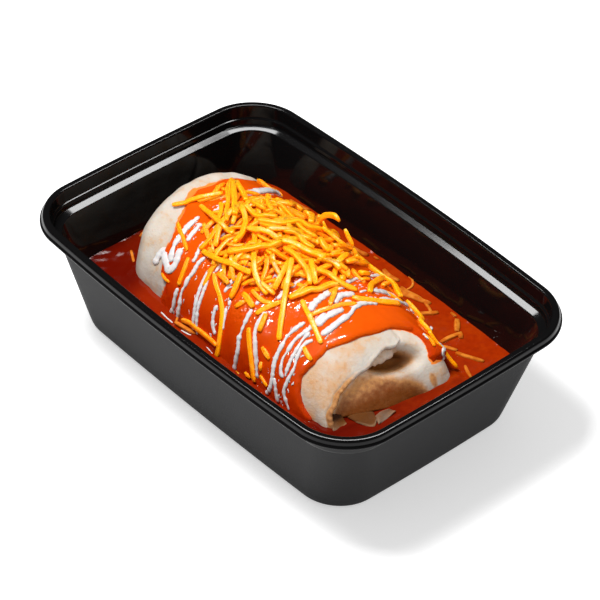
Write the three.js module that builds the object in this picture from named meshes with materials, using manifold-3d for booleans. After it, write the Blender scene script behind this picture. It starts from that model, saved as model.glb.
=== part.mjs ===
// Smothered burrito in a black meal tray.
// Millimetres, +Z up. The origin is the middle of the tray's underside, +X runs along the burrito
// from its tucked end to its open folded end, and +Y is the far long side of the tray.
import * as THREE from 'three';
import { mergeVertices } from 'three/addons/utils/BufferGeometryUtils.js';
import Module from 'manifold-3d';

const wasm = await Module();
wasm.setup();

// ---------------------------------------------------------------- driving dimensions
const TRAY_LENGTH = 222;
const TRAY_WIDTH = 151.4;
const TRAY_HEIGHT = 60;
const TRAY_CORNER = 25.8;
const TRAY_END_BOW = 1.24;
const TRAY_SIDE_BOW = 3.6;
const BASE_LENGTH = 173.6;
const BASE_WIDTH = 105.7;
const BASE_CORNER = 14.7;
const BASE_END_BOW = 0.95;
const BASE_SIDE_BOW = 1.63;
const WALL = 1;
const CORNER_STEPS = 6;
const LONG_SIDE_STEPS = 6;
const SHORT_SIDE_STEPS = 4;

const GAP = 0.35;
const SAUCE_LEVEL = 24;

const REST_LEVEL = WALL + GAP;
const WIDEST_LEVEL = 22;
const BACK_END_X = -89.3;
const BACK_END_MIDDLE_Y = 18;
const BACK_END_ROUNDING = 0.0047;
const FRONT_FOOT_X = 73;
const FRONT_SKEW = 0.14;
const FRONT_SLOPE = 0.72;
const SECTION_STEPS = 28;
const LENGTH_STEPS = 10;
const CORE_SECTION_STEPS = 16;
const CORE_LENGTH_STEPS = 5;
const TORTILLA = 2.4;

const COAT = 1.5;
const COAT_OUTER = GAP + COAT;
const COAT_BACK_X = -66.4;
const COAT_BACK_SLANT = -0.38;
const COAT_BACK_BULGE = 7.5;
const COAT_FRONT_X = 48.5;
const COAT_FRONT_SHIFT = 4.6;
const COAT_FOOT_REACH = 15;
const DRIZZLE_WIDTH = 2.2;
const DRIZZLE_HEIGHT = 1.1;

const SHRED = 2.1;
const SHRED_STEPS = 3;
const HEAP_X = -7;
const HEAP_Y = 11;
const HEAP_HALF_LENGTH = 49;
const HEAP_HALF_WIDTH = 25;
const HEAP_CORE = 2.4;
const HEAP_CORE_LIFT = COAT_OUTER + GAP + 0.9;
const HEAP_SHREDS = 45;
const SHRED_LIFT = COAT_OUTER + DRIZZLE_HEIGHT + 0.6;

// ---------------------------------------------------------------- finishes
const finishes = {
  tray: new THREE.MeshStandardMaterial({ color: 0x17181a, roughness: 0.28, metalness: 0 }),
  burrito: new THREE.MeshStandardMaterial({ color: 0xe9d3b0, roughness: 0.75, metalness: 0 }),
  sauce_pool: new THREE.MeshStandardMaterial({ color: 0xb02c04, roughness: 0.16, metalness: 0 }),
  sauce_coat: new THREE.MeshStandardMaterial({ color: 0xe0480a, roughness: 0.18, metalness: 0 }),
  cheese: new THREE.MeshStandardMaterial({ color: 0xffb014, roughness: 0.5, metalness: 0 }),
};

// ---------------------------------------------------------------- shared shape tools
// Repeatable random numbers from 0 to 1.
function seededRandom(seed) {
  let state = seed;
  return () => {
    state = (state + 0x6d2b79f5) | 0;
    let mixed = Math.imul(state ^ (state >>> 15), 1 | state);
    mixed = (mixed + Math.imul(mixed ^ (mixed >>> 7), 61 | mixed)) ^ mixed;
    return ((mixed ^ (mixed >>> 14)) >>> 0) / 4294967296;
  };
}

// A closed skin through rings with the same number of points, with a fan over each end ring.
function loft(rings) {
  const positions = [];
  const indices = [];
  const count = rings[0].length;
  for (const ring of rings) {
    for (const point of ring) positions.push(point.x, point.y, point.z);
  }
  for (let level = 0; level + 1 < rings.length; level += 1) {
    for (let step = 0; step < count; step += 1) {
      const here = level * count + step;
      const beside = level * count + (step + 1) % count;
      indices.push(here, beside, beside + count);
      indices.push(here, beside + count, here + count);
    }
  }
  const fan = (ring, offset, flip) => {
    const middle = ring.reduce((sum, point) => sum.add(point), new THREE.Vector3()).divideScalar(count);
    const centre = positions.length / 3;
    positions.push(middle.x, middle.y, middle.z);
    for (let step = 0; step < count; step += 1) {
      const here = offset + step;
      const beside = offset + (step + 1) % count;
      if (flip) indices.push(centre, beside, here);
      else indices.push(centre, here, beside);
    }
  };
  fan(rings[0], 0, true);
  fan(rings[rings.length - 1], (rings.length - 1) * count, false);
  const geometry = new THREE.BufferGeometry();
  geometry.setAttribute('position', new THREE.Float32BufferAttribute(positions, 3));
  geometry.setIndex(indices);
  return geometry;
}

function solidOf(geometry) {
  const bare = geometry.clone();
  bare.deleteAttribute('normal');
  bare.deleteAttribute('uv');
  const merged = mergeVertices(bare, 1e-5);
  return new wasm.Manifold(new wasm.Mesh({
    numProp: 3,
    vertProperties: new Float32Array(merged.attributes.position.array),
    triVerts: new Uint32Array(merged.index.array),
  }));
}

function geometryOf(solid) {
  const mesh = solid.getMesh();
  const geometry = new THREE.BufferGeometry();
  geometry.setAttribute('position', new THREE.BufferAttribute(mesh.vertProperties, 3));
  geometry.setIndex(new THREE.BufferAttribute(mesh.triVerts, 1));
  geometry.computeVertexNormals();
  return geometry;
}

function largestPiece(solid) {
  return solid.decompose().reduce((best, piece) => (piece.volume() > best.volume() ? piece : best));
}

// An upright prism over an outline of [x, y] points.
function uprightPrism(outline, bottom, top) {
  const shape = new THREE.Shape(outline.map(([x, y]) => new THREE.Vector2(x, y)));
  const prism = new THREE.ExtrudeGeometry(shape, { depth: top - bottom, bevelEnabled: false });
  prism.translate(0, 0, bottom);
  return solidOf(prism);
}

// ---------------------------------------------------------------- tray
// A level is the size of one ring round the tray, measured without the bow of its sides.
const rimLevel = {
  halfLength: TRAY_LENGTH / 2 - TRAY_END_BOW,
  halfWidth: TRAY_WIDTH / 2 - TRAY_SIDE_BOW,
  radius: TRAY_CORNER,
  endBow: TRAY_END_BOW,
  sideBow: TRAY_SIDE_BOW,
};
const baseLevel = {
  halfLength: BASE_LENGTH / 2 - BASE_END_BOW,
  halfWidth: BASE_WIDTH / 2 - BASE_SIDE_BOW,
  radius: BASE_CORNER,
  endBow: BASE_END_BOW,
  sideBow: BASE_SIDE_BOW,
};

function inward(level, distance) {
  return {
    ...level,
    halfLength: level.halfLength - distance,
    halfWidth: level.halfWidth - distance,
    radius: level.radius - distance,
  };
}

function between(low, high, share) {
  const mixed = {};
  for (const key of Object.keys(low)) mixed[key] = THREE.MathUtils.lerp(low[key], high[key], share);
  return mixed;
}

// The ring starts at the +X side and turns anticlockwise: corner, side, corner, side.
function trayRing(level, height) {
  const straightX = level.halfLength - level.radius;
  const straightY = level.halfWidth - level.radius;
  const corners = [[1, 1], [-1, 1], [-1, -1], [1, -1]];
  const points = [];
  corners.forEach(([signX, signY], index) => {
    for (let step = 0; step <= CORNER_STEPS; step += 1) {
      const angle = (index + step / CORNER_STEPS) * Math.PI / 2;
      const x = signX * straightX + level.radius * Math.cos(angle);
      const y = signY * straightY + level.radius * Math.sin(angle);
      points.push(new THREE.Vector3(x, y, height));
    }
    const [nextX, nextY] = corners[(index + 1) % corners.length];
    const start = points[points.length - 1].clone();
    const turn = (index + 1) * Math.PI / 2;
    const end = new THREE.Vector3(
      nextX * straightX + level.radius * Math.cos(turn),
      nextY * straightY + level.radius * Math.sin(turn),
      height,
    );
    const steps = index % 2 === 0 ? LONG_SIDE_STEPS : SHORT_SIDE_STEPS;
    for (let step = 1; step < steps; step += 1) points.push(start.clone().lerp(end, step / steps));
  });
  for (const point of points) {
    const alongShare = THREE.MathUtils.clamp(point.x / level.halfLength, -1, 1);
    const acrossShare = THREE.MathUtils.clamp(point.y / level.halfWidth, -1, 1);
    point.x += level.endBow * (1 - acrossShare ** 2) * alongShare;
    point.y += level.sideBow * (1 - alongShare ** 2) * acrossShare;
  }
  return points;
}

// Inner wall: straight from the top of the floor fillet to the lower ledge.
const FILLET_TOP = 5.6;
const FILLET_GROWTH = 4.6;
const LEDGE_INSET = 8.9;
const LEDGE_DEPTH = 10.8;
function innerWallLevel(height) {
  const share = (height - FILLET_TOP) / (TRAY_HEIGHT - LEDGE_DEPTH - FILLET_TOP);
  return between(inward(baseLevel, -FILLET_GROWTH), inward(rimLevel, LEDGE_INSET), share);
}

function makeTray() {
  // Rim, ledges and skirt as [distance in from the outer edge, depth below the top].
  const outsideRim = [
    [7.9, 11.8], [5.7, 11.3], [5.4, 8.1], [4.3, 7.7], [4, 1.5], [2.5, 1.5], [1.4, 4], [0.15, 4],
    [0, 3.5], [0.2, 3], [0.95, 2.6], [1.15, 1], [1.6, 0.25], [2.2, 0],
  ];
  const insideRim = [[4.3, 0], [4.8, 0.5], [5.2, 6.6], [6.4, 7], [6.7, 10.2], [LEDGE_INSET, LEDGE_DEPTH]];
  // Floor fillets as [growth out from the flat base, height].
  const outsideFillet = [[0, 0], [2.7, 0.6], [4.7, 2.2], [FILLET_GROWTH + WALL, 5]];
  const insideFillet = [[FILLET_GROWTH, FILLET_TOP], [3.6, 2.9], [1.8, 1.45], [-0.6, WALL]];
  const rings = [
    ...outsideFillet.map(([growth, height]) => trayRing(inward(baseLevel, -growth), height)),
    ...outsideRim.map(([inset, depth]) => trayRing(inward(rimLevel, inset), TRAY_HEIGHT - depth)),
    ...insideRim.map(([inset, depth]) => trayRing(inward(rimLevel, inset), TRAY_HEIGHT - depth)),
    ...insideFillet.map(([growth, height]) => trayRing(inward(baseLevel, -growth), height)),
  ];
  return loft(rings);
}

// ---------------------------------------------------------------- burrito form
// Sections from the tucked end (0) to the folded end (1): near side, far side and top of the roll.
const sections = [
  { share: 0, near: -36, far: 49.3, top: 49.8 },
  { share: 0.12, near: -37, far: 48, top: 50.6 },
  { share: 0.27, near: -38.2, far: 46.5, top: 52.4 },
  { share: 0.5, near: -40, far: 44, top: 53.6 },
  { share: 0.72, near: -40.5, far: 41, top: 53.2 },
  { share: 0.88, near: -40, far: 36, top: 51.4 },
  { share: 1, near: -38, far: 30.5, top: 49.5 },
];
const nearLine = new THREE.CatmullRomCurve3(sections.map((row) => new THREE.Vector3(row.share, row.near, 0)));
const farLine = new THREE.CatmullRomCurve3(sections.map((row) => new THREE.Vector3(row.share, row.far, 0)));
const topLine = new THREE.CatmullRomCurve3(sections.map((row) => new THREE.Vector3(row.share, row.top, 0)));

// Value of a line at a share of the length; the curve's own parameter is found by bisection.
function lineAt(line, share) {
  const wanted = THREE.MathUtils.clamp(share, 0, 1);
  let low = 0;
  let high = 1;
  for (let round = 0; round < 24; round += 1) {
    const middle = (low + high) / 2;
    if (line.getPoint(middle).x < wanted) low = middle;
    else high = middle;
  }
  return line.getPoint((low + high) / 2).y;
}

const UPPER_ROUNDNESS = 2.12;
const LOWER_ROUNDNESS = 2.9;

function sectionAt(share, grow) {
  const near = lineAt(nearLine, share);
  const far = lineAt(farLine, share);
  return {
    middle: (near + far) / 2,
    halfWidth: (far - near) / 2 + grow,
    rise: lineAt(topLine, share) - WIDEST_LEVEL + grow,
    drop: WIDEST_LEVEL - REST_LEVEL + grow,
  };
}

// A point on a section: angle 0 is the far side, a quarter turn the crest, half a turn the near side.
function sectionPoint(section, angle) {
  const across = Math.cos(angle);
  const up = Math.sin(angle);
  const power = 2 / (up >= 0 ? UPPER_ROUNDNESS : LOWER_ROUNDNESS);
  const height = up >= 0 ? section.rise : section.drop;
  return {
    y: section.middle + section.halfWidth * Math.sign(across) * Math.abs(across) ** power,
    z: WIDEST_LEVEL + height * Math.sign(up) * Math.abs(up) ** power,
  };
}

function backEnd(y, grow) {
  return BACK_END_X + BACK_END_ROUNDING * (y - BACK_END_MIDDLE_Y) ** 2 - grow;
}

function frontEnd(y, z, grow) {
  const lean = FRONT_SLOPE * Math.max(z - SAUCE_LEVEL, 0);
  const tuck = 0.2 * Math.max(WIDEST_LEVEL - z, 0);
  return FRONT_FOOT_X + FRONT_SKEW * y - lean - tuck + grow * Math.hypot(1, FRONT_SLOPE);
}

// End rings as [share of the section, distance in from the end face].
const endRings = [[1, 8], [0.97, 4.2], [0.93, 2], [0.86, 0.6], [0.72, 0], [0.4, -0.6]];
const SIDE_INSET = endRings[0][1];

// The roll's skin, moved out by grow, as rings from the tucked end to the folded end.
function rollRings(grow, sectionSteps, lengthSteps) {
  const rings = [];
  const angles = Array.from({ length: sectionSteps }, (_, step) => step / sectionSteps * 2 * Math.PI);
  for (const [size, inset] of endRings.toReversed()) {
    const section = sectionAt(0, grow);
    rings.push(angles.map((angle) => {
      const { y, z } = sectionPoint(section, angle);
      const endY = section.middle + (y - section.middle) * size;
      const endZ = WIDEST_LEVEL + (z - WIDEST_LEVEL) * size;
      return new THREE.Vector3(backEnd(endY, grow) + inset, endY, endZ);
    }));
  }
  for (let step = 1; step < lengthSteps; step += 1) {
    const share = step / lengthSteps;
    const section = sectionAt(share, grow);
    rings.push(angles.map((angle) => {
      const { y, z } = sectionPoint(section, angle);
      const start = backEnd(y, grow) + SIDE_INSET;
      const end = frontEnd(y, z, grow) - SIDE_INSET;
      return new THREE.Vector3(THREE.MathUtils.lerp(start, end, share), y, z);
    }));
  }
  for (const [size, inset] of endRings) {
    const section = sectionAt(1, grow);
    rings.push(angles.map((angle) => {
      const { y, z } = sectionPoint(section, angle);
      const endY = section.middle + (y - section.middle) * size;
      const endZ = WIDEST_LEVEL + (z - WIDEST_LEVEL) * size;
      return new THREE.Vector3(frontEnd(endY, endZ, grow) - inset, endY, endZ);
    }));
  }
  return rings;
}

const rollSolid = (grow, sectionSteps = SECTION_STEPS, lengthSteps = LENGTH_STEPS) => (
  solidOf(loft(rollRings(grow, sectionSteps, lengthSteps)))
);

// Height of the roll's skin above a plan point.
function rollHeight(x, y, grow) {
  let z = 50;
  for (let round = 0; round < 6; round += 1) {
    const start = backEnd(y, grow) + SIDE_INSET;
    const end = frontEnd(y, z, grow) - SIDE_INSET;
    const section = sectionAt((x - start) / (end - start), grow);
    const side = Math.min(Math.abs(y - section.middle) / section.halfWidth, 0.995);
    z = WIDEST_LEVEL + section.rise * (1 - side ** UPPER_ROUNDNESS) ** (1 / UPPER_ROUNDNESS);
  }
  return z;
}

// ---------------------------------------------------------------- burrito
// The folded end: the upper flap overlaps a sunken panel, with an open pocket between the two.
const FLAP_EDGE_TOP = 43.2;
const FLAP_EDGE_CURVE = 0.0117;
const FLAP_NEAR_Y = -46;
const FLAP_FAR_Y = 9;
const PANEL_MIDDLE = new THREE.Vector3(62.5, -17, 36);
const PANEL_HALF_SIZE = new THREE.Vector3(3.4, 33, 21);
const POCKET_MIDDLE = new THREE.Vector3(59.5, 5.5, 41.5);
const POCKET_HALF_SIZE = new THREE.Vector3(13, 12, 6);
const FOOT_LIPS = [
  { middleY: -33, halfWidth: 4.5, reach: 4 },
  { middleY: -14, halfWidth: 9, reach: 4 },
];
const LIP_THICKNESS = 2;
const LIP_ROOT = 12;

// Everything above the upper flap's free edge, right through the roll along X.
function flapSide() {
  const outline = [new THREE.Vector2(FLAP_FAR_Y, 90)];
  const steps = 12;
  for (let step = 0; step <= steps; step += 1) {
    const y = THREE.MathUtils.lerp(FLAP_FAR_Y, FLAP_NEAR_Y, step / steps);
    outline.push(new THREE.Vector2(y, FLAP_EDGE_TOP - FLAP_EDGE_CURVE * (y + 1) ** 2));
  }
  outline.push(new THREE.Vector2(FLAP_NEAR_Y, 90));
  const prism = new THREE.ExtrudeGeometry(new THREE.Shape(outline), { depth: 140, bevelEnabled: false });
  const axes = [new THREE.Vector3(0, 1, 0), new THREE.Vector3(0, 0, 1), new THREE.Vector3(1, 0, 0)];
  prism.applyMatrix4(new THREE.Matrix4().makeBasis(...axes));
  return solidOf(prism);
}

// An egg whose first half size points out of the sloping front face.
function faceEgg(middle, halfSize) {
  const egg = new THREE.SphereGeometry(1, 20, 12);
  egg.scale(halfSize.x, halfSize.y, halfSize.z);
  const out = new THREE.Vector3(1, -FRONT_SKEW, FRONT_SLOPE).normalize();
  const across = new THREE.Vector3(0, 0, 1).cross(out).normalize();
  const up = out.clone().cross(across);
  egg.applyMatrix4(new THREE.Matrix4().makeBasis(out, across, up));
  egg.translate(middle.x, middle.y, middle.z);
  return solidOf(egg);
}

// A rounded tongue of tortilla that shows at the foot of the folded end.
function footLip({ middleY, halfWidth, reach }) {
  const outline = new THREE.Shape();
  const footX = FRONT_FOOT_X + FRONT_SKEW * middleY;
  outline.absellipse(footX, middleY, reach, halfWidth, -Math.PI / 2, Math.PI / 2, false);
  outline.lineTo(footX - LIP_ROOT, middleY + halfWidth);
  outline.lineTo(footX - LIP_ROOT, middleY - halfWidth);
  const tongue = new THREE.ExtrudeGeometry(outline, {
    depth: LIP_THICKNESS, bevelEnabled: false, curveSegments: 8,
  });
  tongue.translate(0, 0, SAUCE_LEVEL + GAP);
  return solidOf(tongue);
}

function makeBurrito() {
  const aboveEdge = flapSide();
  const panelSink = faceEgg(PANEL_MIDDLE, PANEL_HALF_SIZE).subtract(aboveEdge);
  const pocket = faceEgg(POCKET_MIDDLE, POCKET_HALF_SIZE);
  const openPocket = pocket.subtract(aboveEdge);
  const pocketUnderFlap = pocket.intersect(rollSolid(-TORTILLA));
  let roll = rollSolid(0).subtract(panelSink).subtract(openPocket).subtract(pocketUnderFlap);
  for (const lip of FOOT_LIPS) roll = roll.add(footLip(lip));
  return geometryOf(largestPiece(roll));
}

// ---------------------------------------------------------------- shreds of cheese and drizzle
// A bar along a centre line, with a closed cross-section of the given width and height.
function barAlong(centres, widthAt, heightAt, sides) {
  const rings = centres.map((centre, index) => {
    const before = centres[Math.max(index - 1, 0)];
    const after = centres[Math.min(index + 1, centres.length - 1)];
    const along = after.clone().sub(before).normalize();
    const side = new THREE.Vector3(0, 0, 1).cross(along).normalize();
    const up = along.clone().cross(side);
    const share = index / (centres.length - 1);
    return Array.from({ length: sides }, (_, step) => {
      const angle = (step + 0.5) / sides * 2 * Math.PI;
      return centre.clone()
        .addScaledVector(side, widthAt(share) / 2 * Math.cos(angle) / Math.cos(Math.PI / sides))
        .addScaledVector(up, heightAt(share) / 2 * Math.sin(angle) / Math.cos(Math.PI / sides));
    });
  });
  return solidOf(loft(rings));
}

// A curved shred over the roll: its middle, heading, length, bend and lift above the tortilla.
function shredOnRoll({ x, y, heading, length, bend, lift }) {
  const centres = [];
  for (let step = 0; step <= SHRED_STEPS; step += 1) {
    const along = (step / SHRED_STEPS - 0.5) * length;
    const aside = bend * (along * along * 4 / (length * length) - 0.5);
    const pointX = x + along * Math.cos(heading) - aside * Math.sin(heading);
    const pointY = y + along * Math.sin(heading) + aside * Math.cos(heading);
    centres.push(new THREE.Vector3(pointX, pointY, rollHeight(pointX, pointY, lift + SHRED / 2)));
  }
  return barAlong(centres, () => SHRED, () => SHRED, 4);
}

// ---------------------------------------------------------------- sauce pool
const POOL_SHREDS = [
  { x: 22, y: 53, heading: 0.2, length: 17 },
  { x: 34, y: 49, heading: 0.9, length: 12 },
  { x: 56, y: 46, heading: -0.5, length: 15 },
  { x: 66, y: 48, heading: 0.4, length: 14 },
  { x: 76, y: 44, heading: 1.3, length: 11 },
  { x: -20, y: 56, heading: 0.1, length: 13 },
  { x: -62, y: 57, heading: 0.15, length: 12 },
  { x: -82, y: -32, heading: 0.7, length: 11 },
  { x: -77, y: -44, heading: -0.2, length: 12 },
  { x: -60, y: -48, heading: 0.3, length: 11 },
];

function makeSaucePool() {
  const floorAndFillet = [[-0.9, WALL + GAP], [1.6, 2], [3.3, 3.5], [FILLET_GROWTH - GAP, FILLET_TOP]];
  const rings = floorAndFillet.map(([growth, height]) => trayRing(inward(baseLevel, -growth), height));
  rings.push(trayRing(inward(innerWallLevel(SAUCE_LEVEL), GAP), SAUCE_LEVEL));
  let pool = solidOf(loft(rings));
  for (const { x, y, heading, length } of POOL_SHREDS) {
    const centres = [];
    for (let step = 0; step <= SHRED_STEPS; step += 1) {
      const along = step / SHRED_STEPS - 0.5;
      const bow = 1.6 * (4 * along * along - 0.5);
      centres.push(new THREE.Vector3(
        x + along * length * Math.cos(heading) - bow * Math.sin(heading),
        y + along * length * Math.sin(heading) + bow * Math.cos(heading),
        SAUCE_LEVEL + 0.2,
      ));
    }
    pool = pool.add(barAlong(centres, () => SHRED, () => SHRED, 4));
  }
  return geometryOf(largestPiece(pool.subtract(rollSolid(GAP))));
}

// ---------------------------------------------------------------- sauce coat
// Strands of cream from the far side over the crest and down the near flank, as
// [share of the length at the crest, start angle, end angle, slant], angles in degrees.
const DRIZZLE = [
  [0.12, 62, 146, 0.06],
  [0.2, 74, 158, 0.08],
  [0.27, 104, 163, 0.05],
  [0.4, 112, 165, 0.04],
  [0.5, 116, 165, 0.04],
  [0.6, 112, 160, 0.05],
  [0.7, 108, 162, 0.07],
  [0.765, 74, 158, 0.08],
  [0.83, 62, 160, 0.085],
  [0.89, 54, 150, 0.09],
];
const DRIZZLE_STEPS = 6;
// Loose shreds that lie on the sauce, as [x, y, heading, length, bend].
const COAT_SHREDS = [
  [-62, -8, 1.1, 17, 1.5],
  [-52, -25, 0.5, 13, 1],
  [-38, -29, -0.2, 19, 2],
  [-16, -32, 0.3, 15, 1.5],
  [8, -33, -0.4, 16, 2],
  [32, -25, 0.25, 18, 1],
  [-70, 12, 1.3, 13, 1],
];

function drizzleStrand([share, startAngle, endAngle, slant]) {
  const centres = [];
  for (let step = 0; step <= DRIZZLE_STEPS; step += 1) {
    const angle = THREE.MathUtils.degToRad(THREE.MathUtils.lerp(startAngle, endAngle, step / DRIZZLE_STEPS));
    const along = share - slant * (angle - Math.PI / 2) + 0.004 * Math.sin(step * 2.3);
    const { y, z } = sectionPoint(sectionAt(along, COAT_OUTER), angle);
    const start = backEnd(y, COAT_OUTER) + SIDE_INSET;
    const end = frontEnd(y, z, COAT_OUTER) - SIDE_INSET;
    centres.push(new THREE.Vector3(THREE.MathUtils.lerp(start, end, along), y, z));
  }
  const swell = (at) => DRIZZLE_WIDTH * (1 - 0.45 * Math.abs(2 * at - 1) ** 3);
  return barAlong(centres, swell, () => 2 * DRIZZLE_HEIGHT, 5);
}

// The coat's plan: wavy edges that leave both ends of the tortilla bare.
function coatOutline() {
  const outline = [];
  const steps = 22;
  const reach = 70;
  for (let step = 0; step <= steps; step += 1) {
    const y = THREE.MathUtils.lerp(-reach, reach, step / steps);
    const nearFoot = COAT_FOOT_REACH * THREE.MathUtils.smoothstep(-y, 35, 40);
    const farFoot = COAT_FOOT_REACH * THREE.MathUtils.smoothstep(y, 24, 34);
    const crest = COAT_FRONT_X + COAT_FRONT_SHIFT * Math.tanh((y + 12) / 12) + 0.8 * Math.sin(y / 5);
    outline.push([crest + nearFoot + farFoot, y]);
  }
  for (let step = 0; step <= steps; step += 1) {
    const y = THREE.MathUtils.lerp(reach, -reach, step / steps);
    const bulge = COAT_BACK_BULGE * Math.max(Math.cos((y - 8) / 30), 0);
    outline.push([COAT_BACK_X + COAT_BACK_SLANT * y - bulge + Math.sin(y / 4), y]);
  }
  return outline;
}

function makeSauceCoat() {
  const skin = rollSolid(COAT_OUTER).subtract(rollSolid(GAP));
  const covered = uprightPrism(coatOutline(), SAUCE_LEVEL + GAP, 90);
  let toppings = drizzleStrand(DRIZZLE[0]);
  for (const strand of DRIZZLE.slice(1)) toppings = toppings.add(drizzleStrand(strand));
  toppings = toppings.subtract(uprightPrism(heapOutline(2), 0, 90));
  for (const [x, y, heading, length, bend] of COAT_SHREDS) {
    toppings = toppings.add(shredOnRoll({ x, y, heading, length, bend, lift: COAT_OUTER - 0.4 }));
  }
  const coat = skin.intersect(covered).add(toppings.intersect(covered));
  return geometryOf(largestPiece(coat.subtract(rollSolid(GAP))));
}

// ---------------------------------------------------------------- heap of grated cheese
// The heap's wavy plan outline, moved out by a margin.
function heapOutline(margin) {
  const steps = 28;
  return Array.from({ length: steps }, (_, step) => {
    const angle = step / steps * 2 * Math.PI;
    const wave = 1 + 0.07 * Math.sin(3 * angle + 1) + 0.06 * Math.sin(5 * angle);
    return [
      HEAP_X + (HEAP_HALF_LENGTH * wave + margin) * Math.cos(angle),
      HEAP_Y + (HEAP_HALF_WIDTH * wave + margin) * Math.sin(angle),
    ];
  });
}

function makeCheese() {
  const random = seededRandom(11);
  const coreRoll = (grow) => rollSolid(grow, CORE_SECTION_STEPS, CORE_LENGTH_STEPS);
  const core = coreRoll(HEAP_CORE_LIFT + HEAP_CORE).subtract(coreRoll(HEAP_CORE_LIFT));
  let heap = core.intersect(uprightPrism(heapOutline(-6), WIDEST_LEVEL, 90));
  const goldenTurn = Math.PI * (3 - Math.sqrt(5));
  for (let index = 0; index < HEAP_SHREDS; index += 1) {
    const share = (index + 0.5) / HEAP_SHREDS;
    const radius = Math.sqrt(share);
    const turn = index * goldenTurn;
    const size = 1 - index / HEAP_SHREDS;
    const shred = {
      x: HEAP_X + 0.86 * HEAP_HALF_LENGTH * radius * Math.cos(turn),
      y: HEAP_Y + 0.84 * HEAP_HALF_WIDTH * radius * Math.sin(turn),
      heading: random() * Math.PI,
      length: 13 + 17 * random() * (0.4 + 0.6 * size),
      bend: 6 * (random() - 0.5),
      lift: SHRED_LIFT + (1 - radius) * 3.4 * random(),
    };
    heap = heap.add(shredOnRoll(shred));
  }
  return geometryOf(largestPiece(heap));
}

// ---------------------------------------------------------------- the whole part
function piece(name, geometry) {
  const mesh = new THREE.Mesh(geometry, finishes[name]);
  mesh.name = name;
  return mesh;
}

const meal = new THREE.Group();
meal.add(piece('tray', makeTray()));
meal.add(piece('burrito', makeBurrito()));
meal.add(piece('sauce_pool', makeSaucePool()));
meal.add(piece('sauce_coat', makeSauceCoat()));
meal.add(piece('cheese', makeCheese()));
export default meal;
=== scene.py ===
import math

import bmesh
import bpy
import numpy as np
from mathutils import Matrix, Vector


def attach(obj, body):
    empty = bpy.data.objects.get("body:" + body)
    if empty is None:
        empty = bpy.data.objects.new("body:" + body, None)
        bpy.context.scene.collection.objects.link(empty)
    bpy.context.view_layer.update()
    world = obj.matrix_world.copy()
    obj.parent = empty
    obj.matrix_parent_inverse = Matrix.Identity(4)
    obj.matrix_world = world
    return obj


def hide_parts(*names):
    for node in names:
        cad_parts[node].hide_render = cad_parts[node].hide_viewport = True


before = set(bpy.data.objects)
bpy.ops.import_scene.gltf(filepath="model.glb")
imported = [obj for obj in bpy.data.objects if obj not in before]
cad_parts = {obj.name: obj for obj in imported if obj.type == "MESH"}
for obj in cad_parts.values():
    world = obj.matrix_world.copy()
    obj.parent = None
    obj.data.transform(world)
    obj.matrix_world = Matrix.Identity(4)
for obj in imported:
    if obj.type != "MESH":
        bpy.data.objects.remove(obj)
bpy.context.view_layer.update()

# ---------------------------------------------------------------- camera, light and table
# A long lens looks down at the folded end. The key light stands behind and to the left of the tray,
# small ones make the sauce sparkle and draw the rim, and pale surroundings fill the shadows.
MM = 0.001
CAMERA_TURN = math.radians(47.459)
CAMERA_RISE = math.radians(40.017)
CAMERA_DISTANCE = 1356.9 * MM
CAMERA_ROLL = math.radians(1.765)
CAMERA_TARGET = Vector((-4.62, 6.92, 29.93)) * MM
CAMERA_LENS = 179.568
SENSOR_WIDTH = 36
PICTURE_WIDTH = 600
LIGHT_DISTANCE = 1.5
SKY_STRENGTH = 0.36
SKY_IN_GLOSS = 0.03
TABLE_SIZE = 9000.0
TABLE_DROP = 0.05
TABLE_WHITE = (0.93, 0.93, 0.93)
TABLE_SHADE = (0.91, 0.91, 0.91)
TABLE_GLOW = 0.5


class Shade:
    """A shader's number or colour. Sums on it add Math nodes."""

    def __init__(self, recipe, socket):
        self.recipe = recipe
        self.socket = socket

    def worked(self, operation, first, second):
        return self.recipe.node("ShaderNodeMath", {"operation": operation}, {0: first, 1: second})

    def __add__(self, other):
        return self.worked("ADD", self, other)

    def __radd__(self, other):
        return self.worked("ADD", other, self)

    def __sub__(self, other):
        return self.worked("SUBTRACT", self, other)

    def __rsub__(self, other):
        return self.worked("SUBTRACT", other, self)

    def __mul__(self, other):
        return self.worked("MULTIPLY", self, other)

    def __rmul__(self, other):
        return self.worked("MULTIPLY", other, self)

    def __truediv__(self, other):
        return self.worked("DIVIDE", self, other)

    def __pow__(self, other):
        return self.worked("POWER", self, other)

    def rising(self, low, high):
        """0 below low and 1 above high, with a smooth rise between."""
        settings = {"interpolation_type": "SMOOTHSTEP"}
        return self.recipe.node("ShaderNodeMapRange", settings, {0: self, 1: low, 2: high, 3: 0.0, 4: 1.0})


class Recipe:
    """A node tree being filled, one node at a time."""

    def __init__(self, tree):
        self.tree = tree
        tree.nodes.clear()

    def node(self, kind, settings, inputs, output=0):
        made = self.tree.nodes.new(kind)
        for name, value in settings.items():
            setattr(made, name, value)
        for name, value in inputs.items():
            socket = made.inputs[name]
            if isinstance(value, Shade):
                self.tree.links.new(value.socket, socket)
            elif socket.type == "RGBA":
                socket.default_value = (*value[:3], 1.0)
            else:
                socket.default_value = value
        return Shade(self, made.outputs[output]) if made.outputs else None

    def mix(self, share, first, second):
        """A colour that goes from first to second as share goes from 0 to 1."""
        return self.node("ShaderNodeMix", {"data_type": "RGBA"}, {0: share, 6: first, 7: second}, 2)


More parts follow.
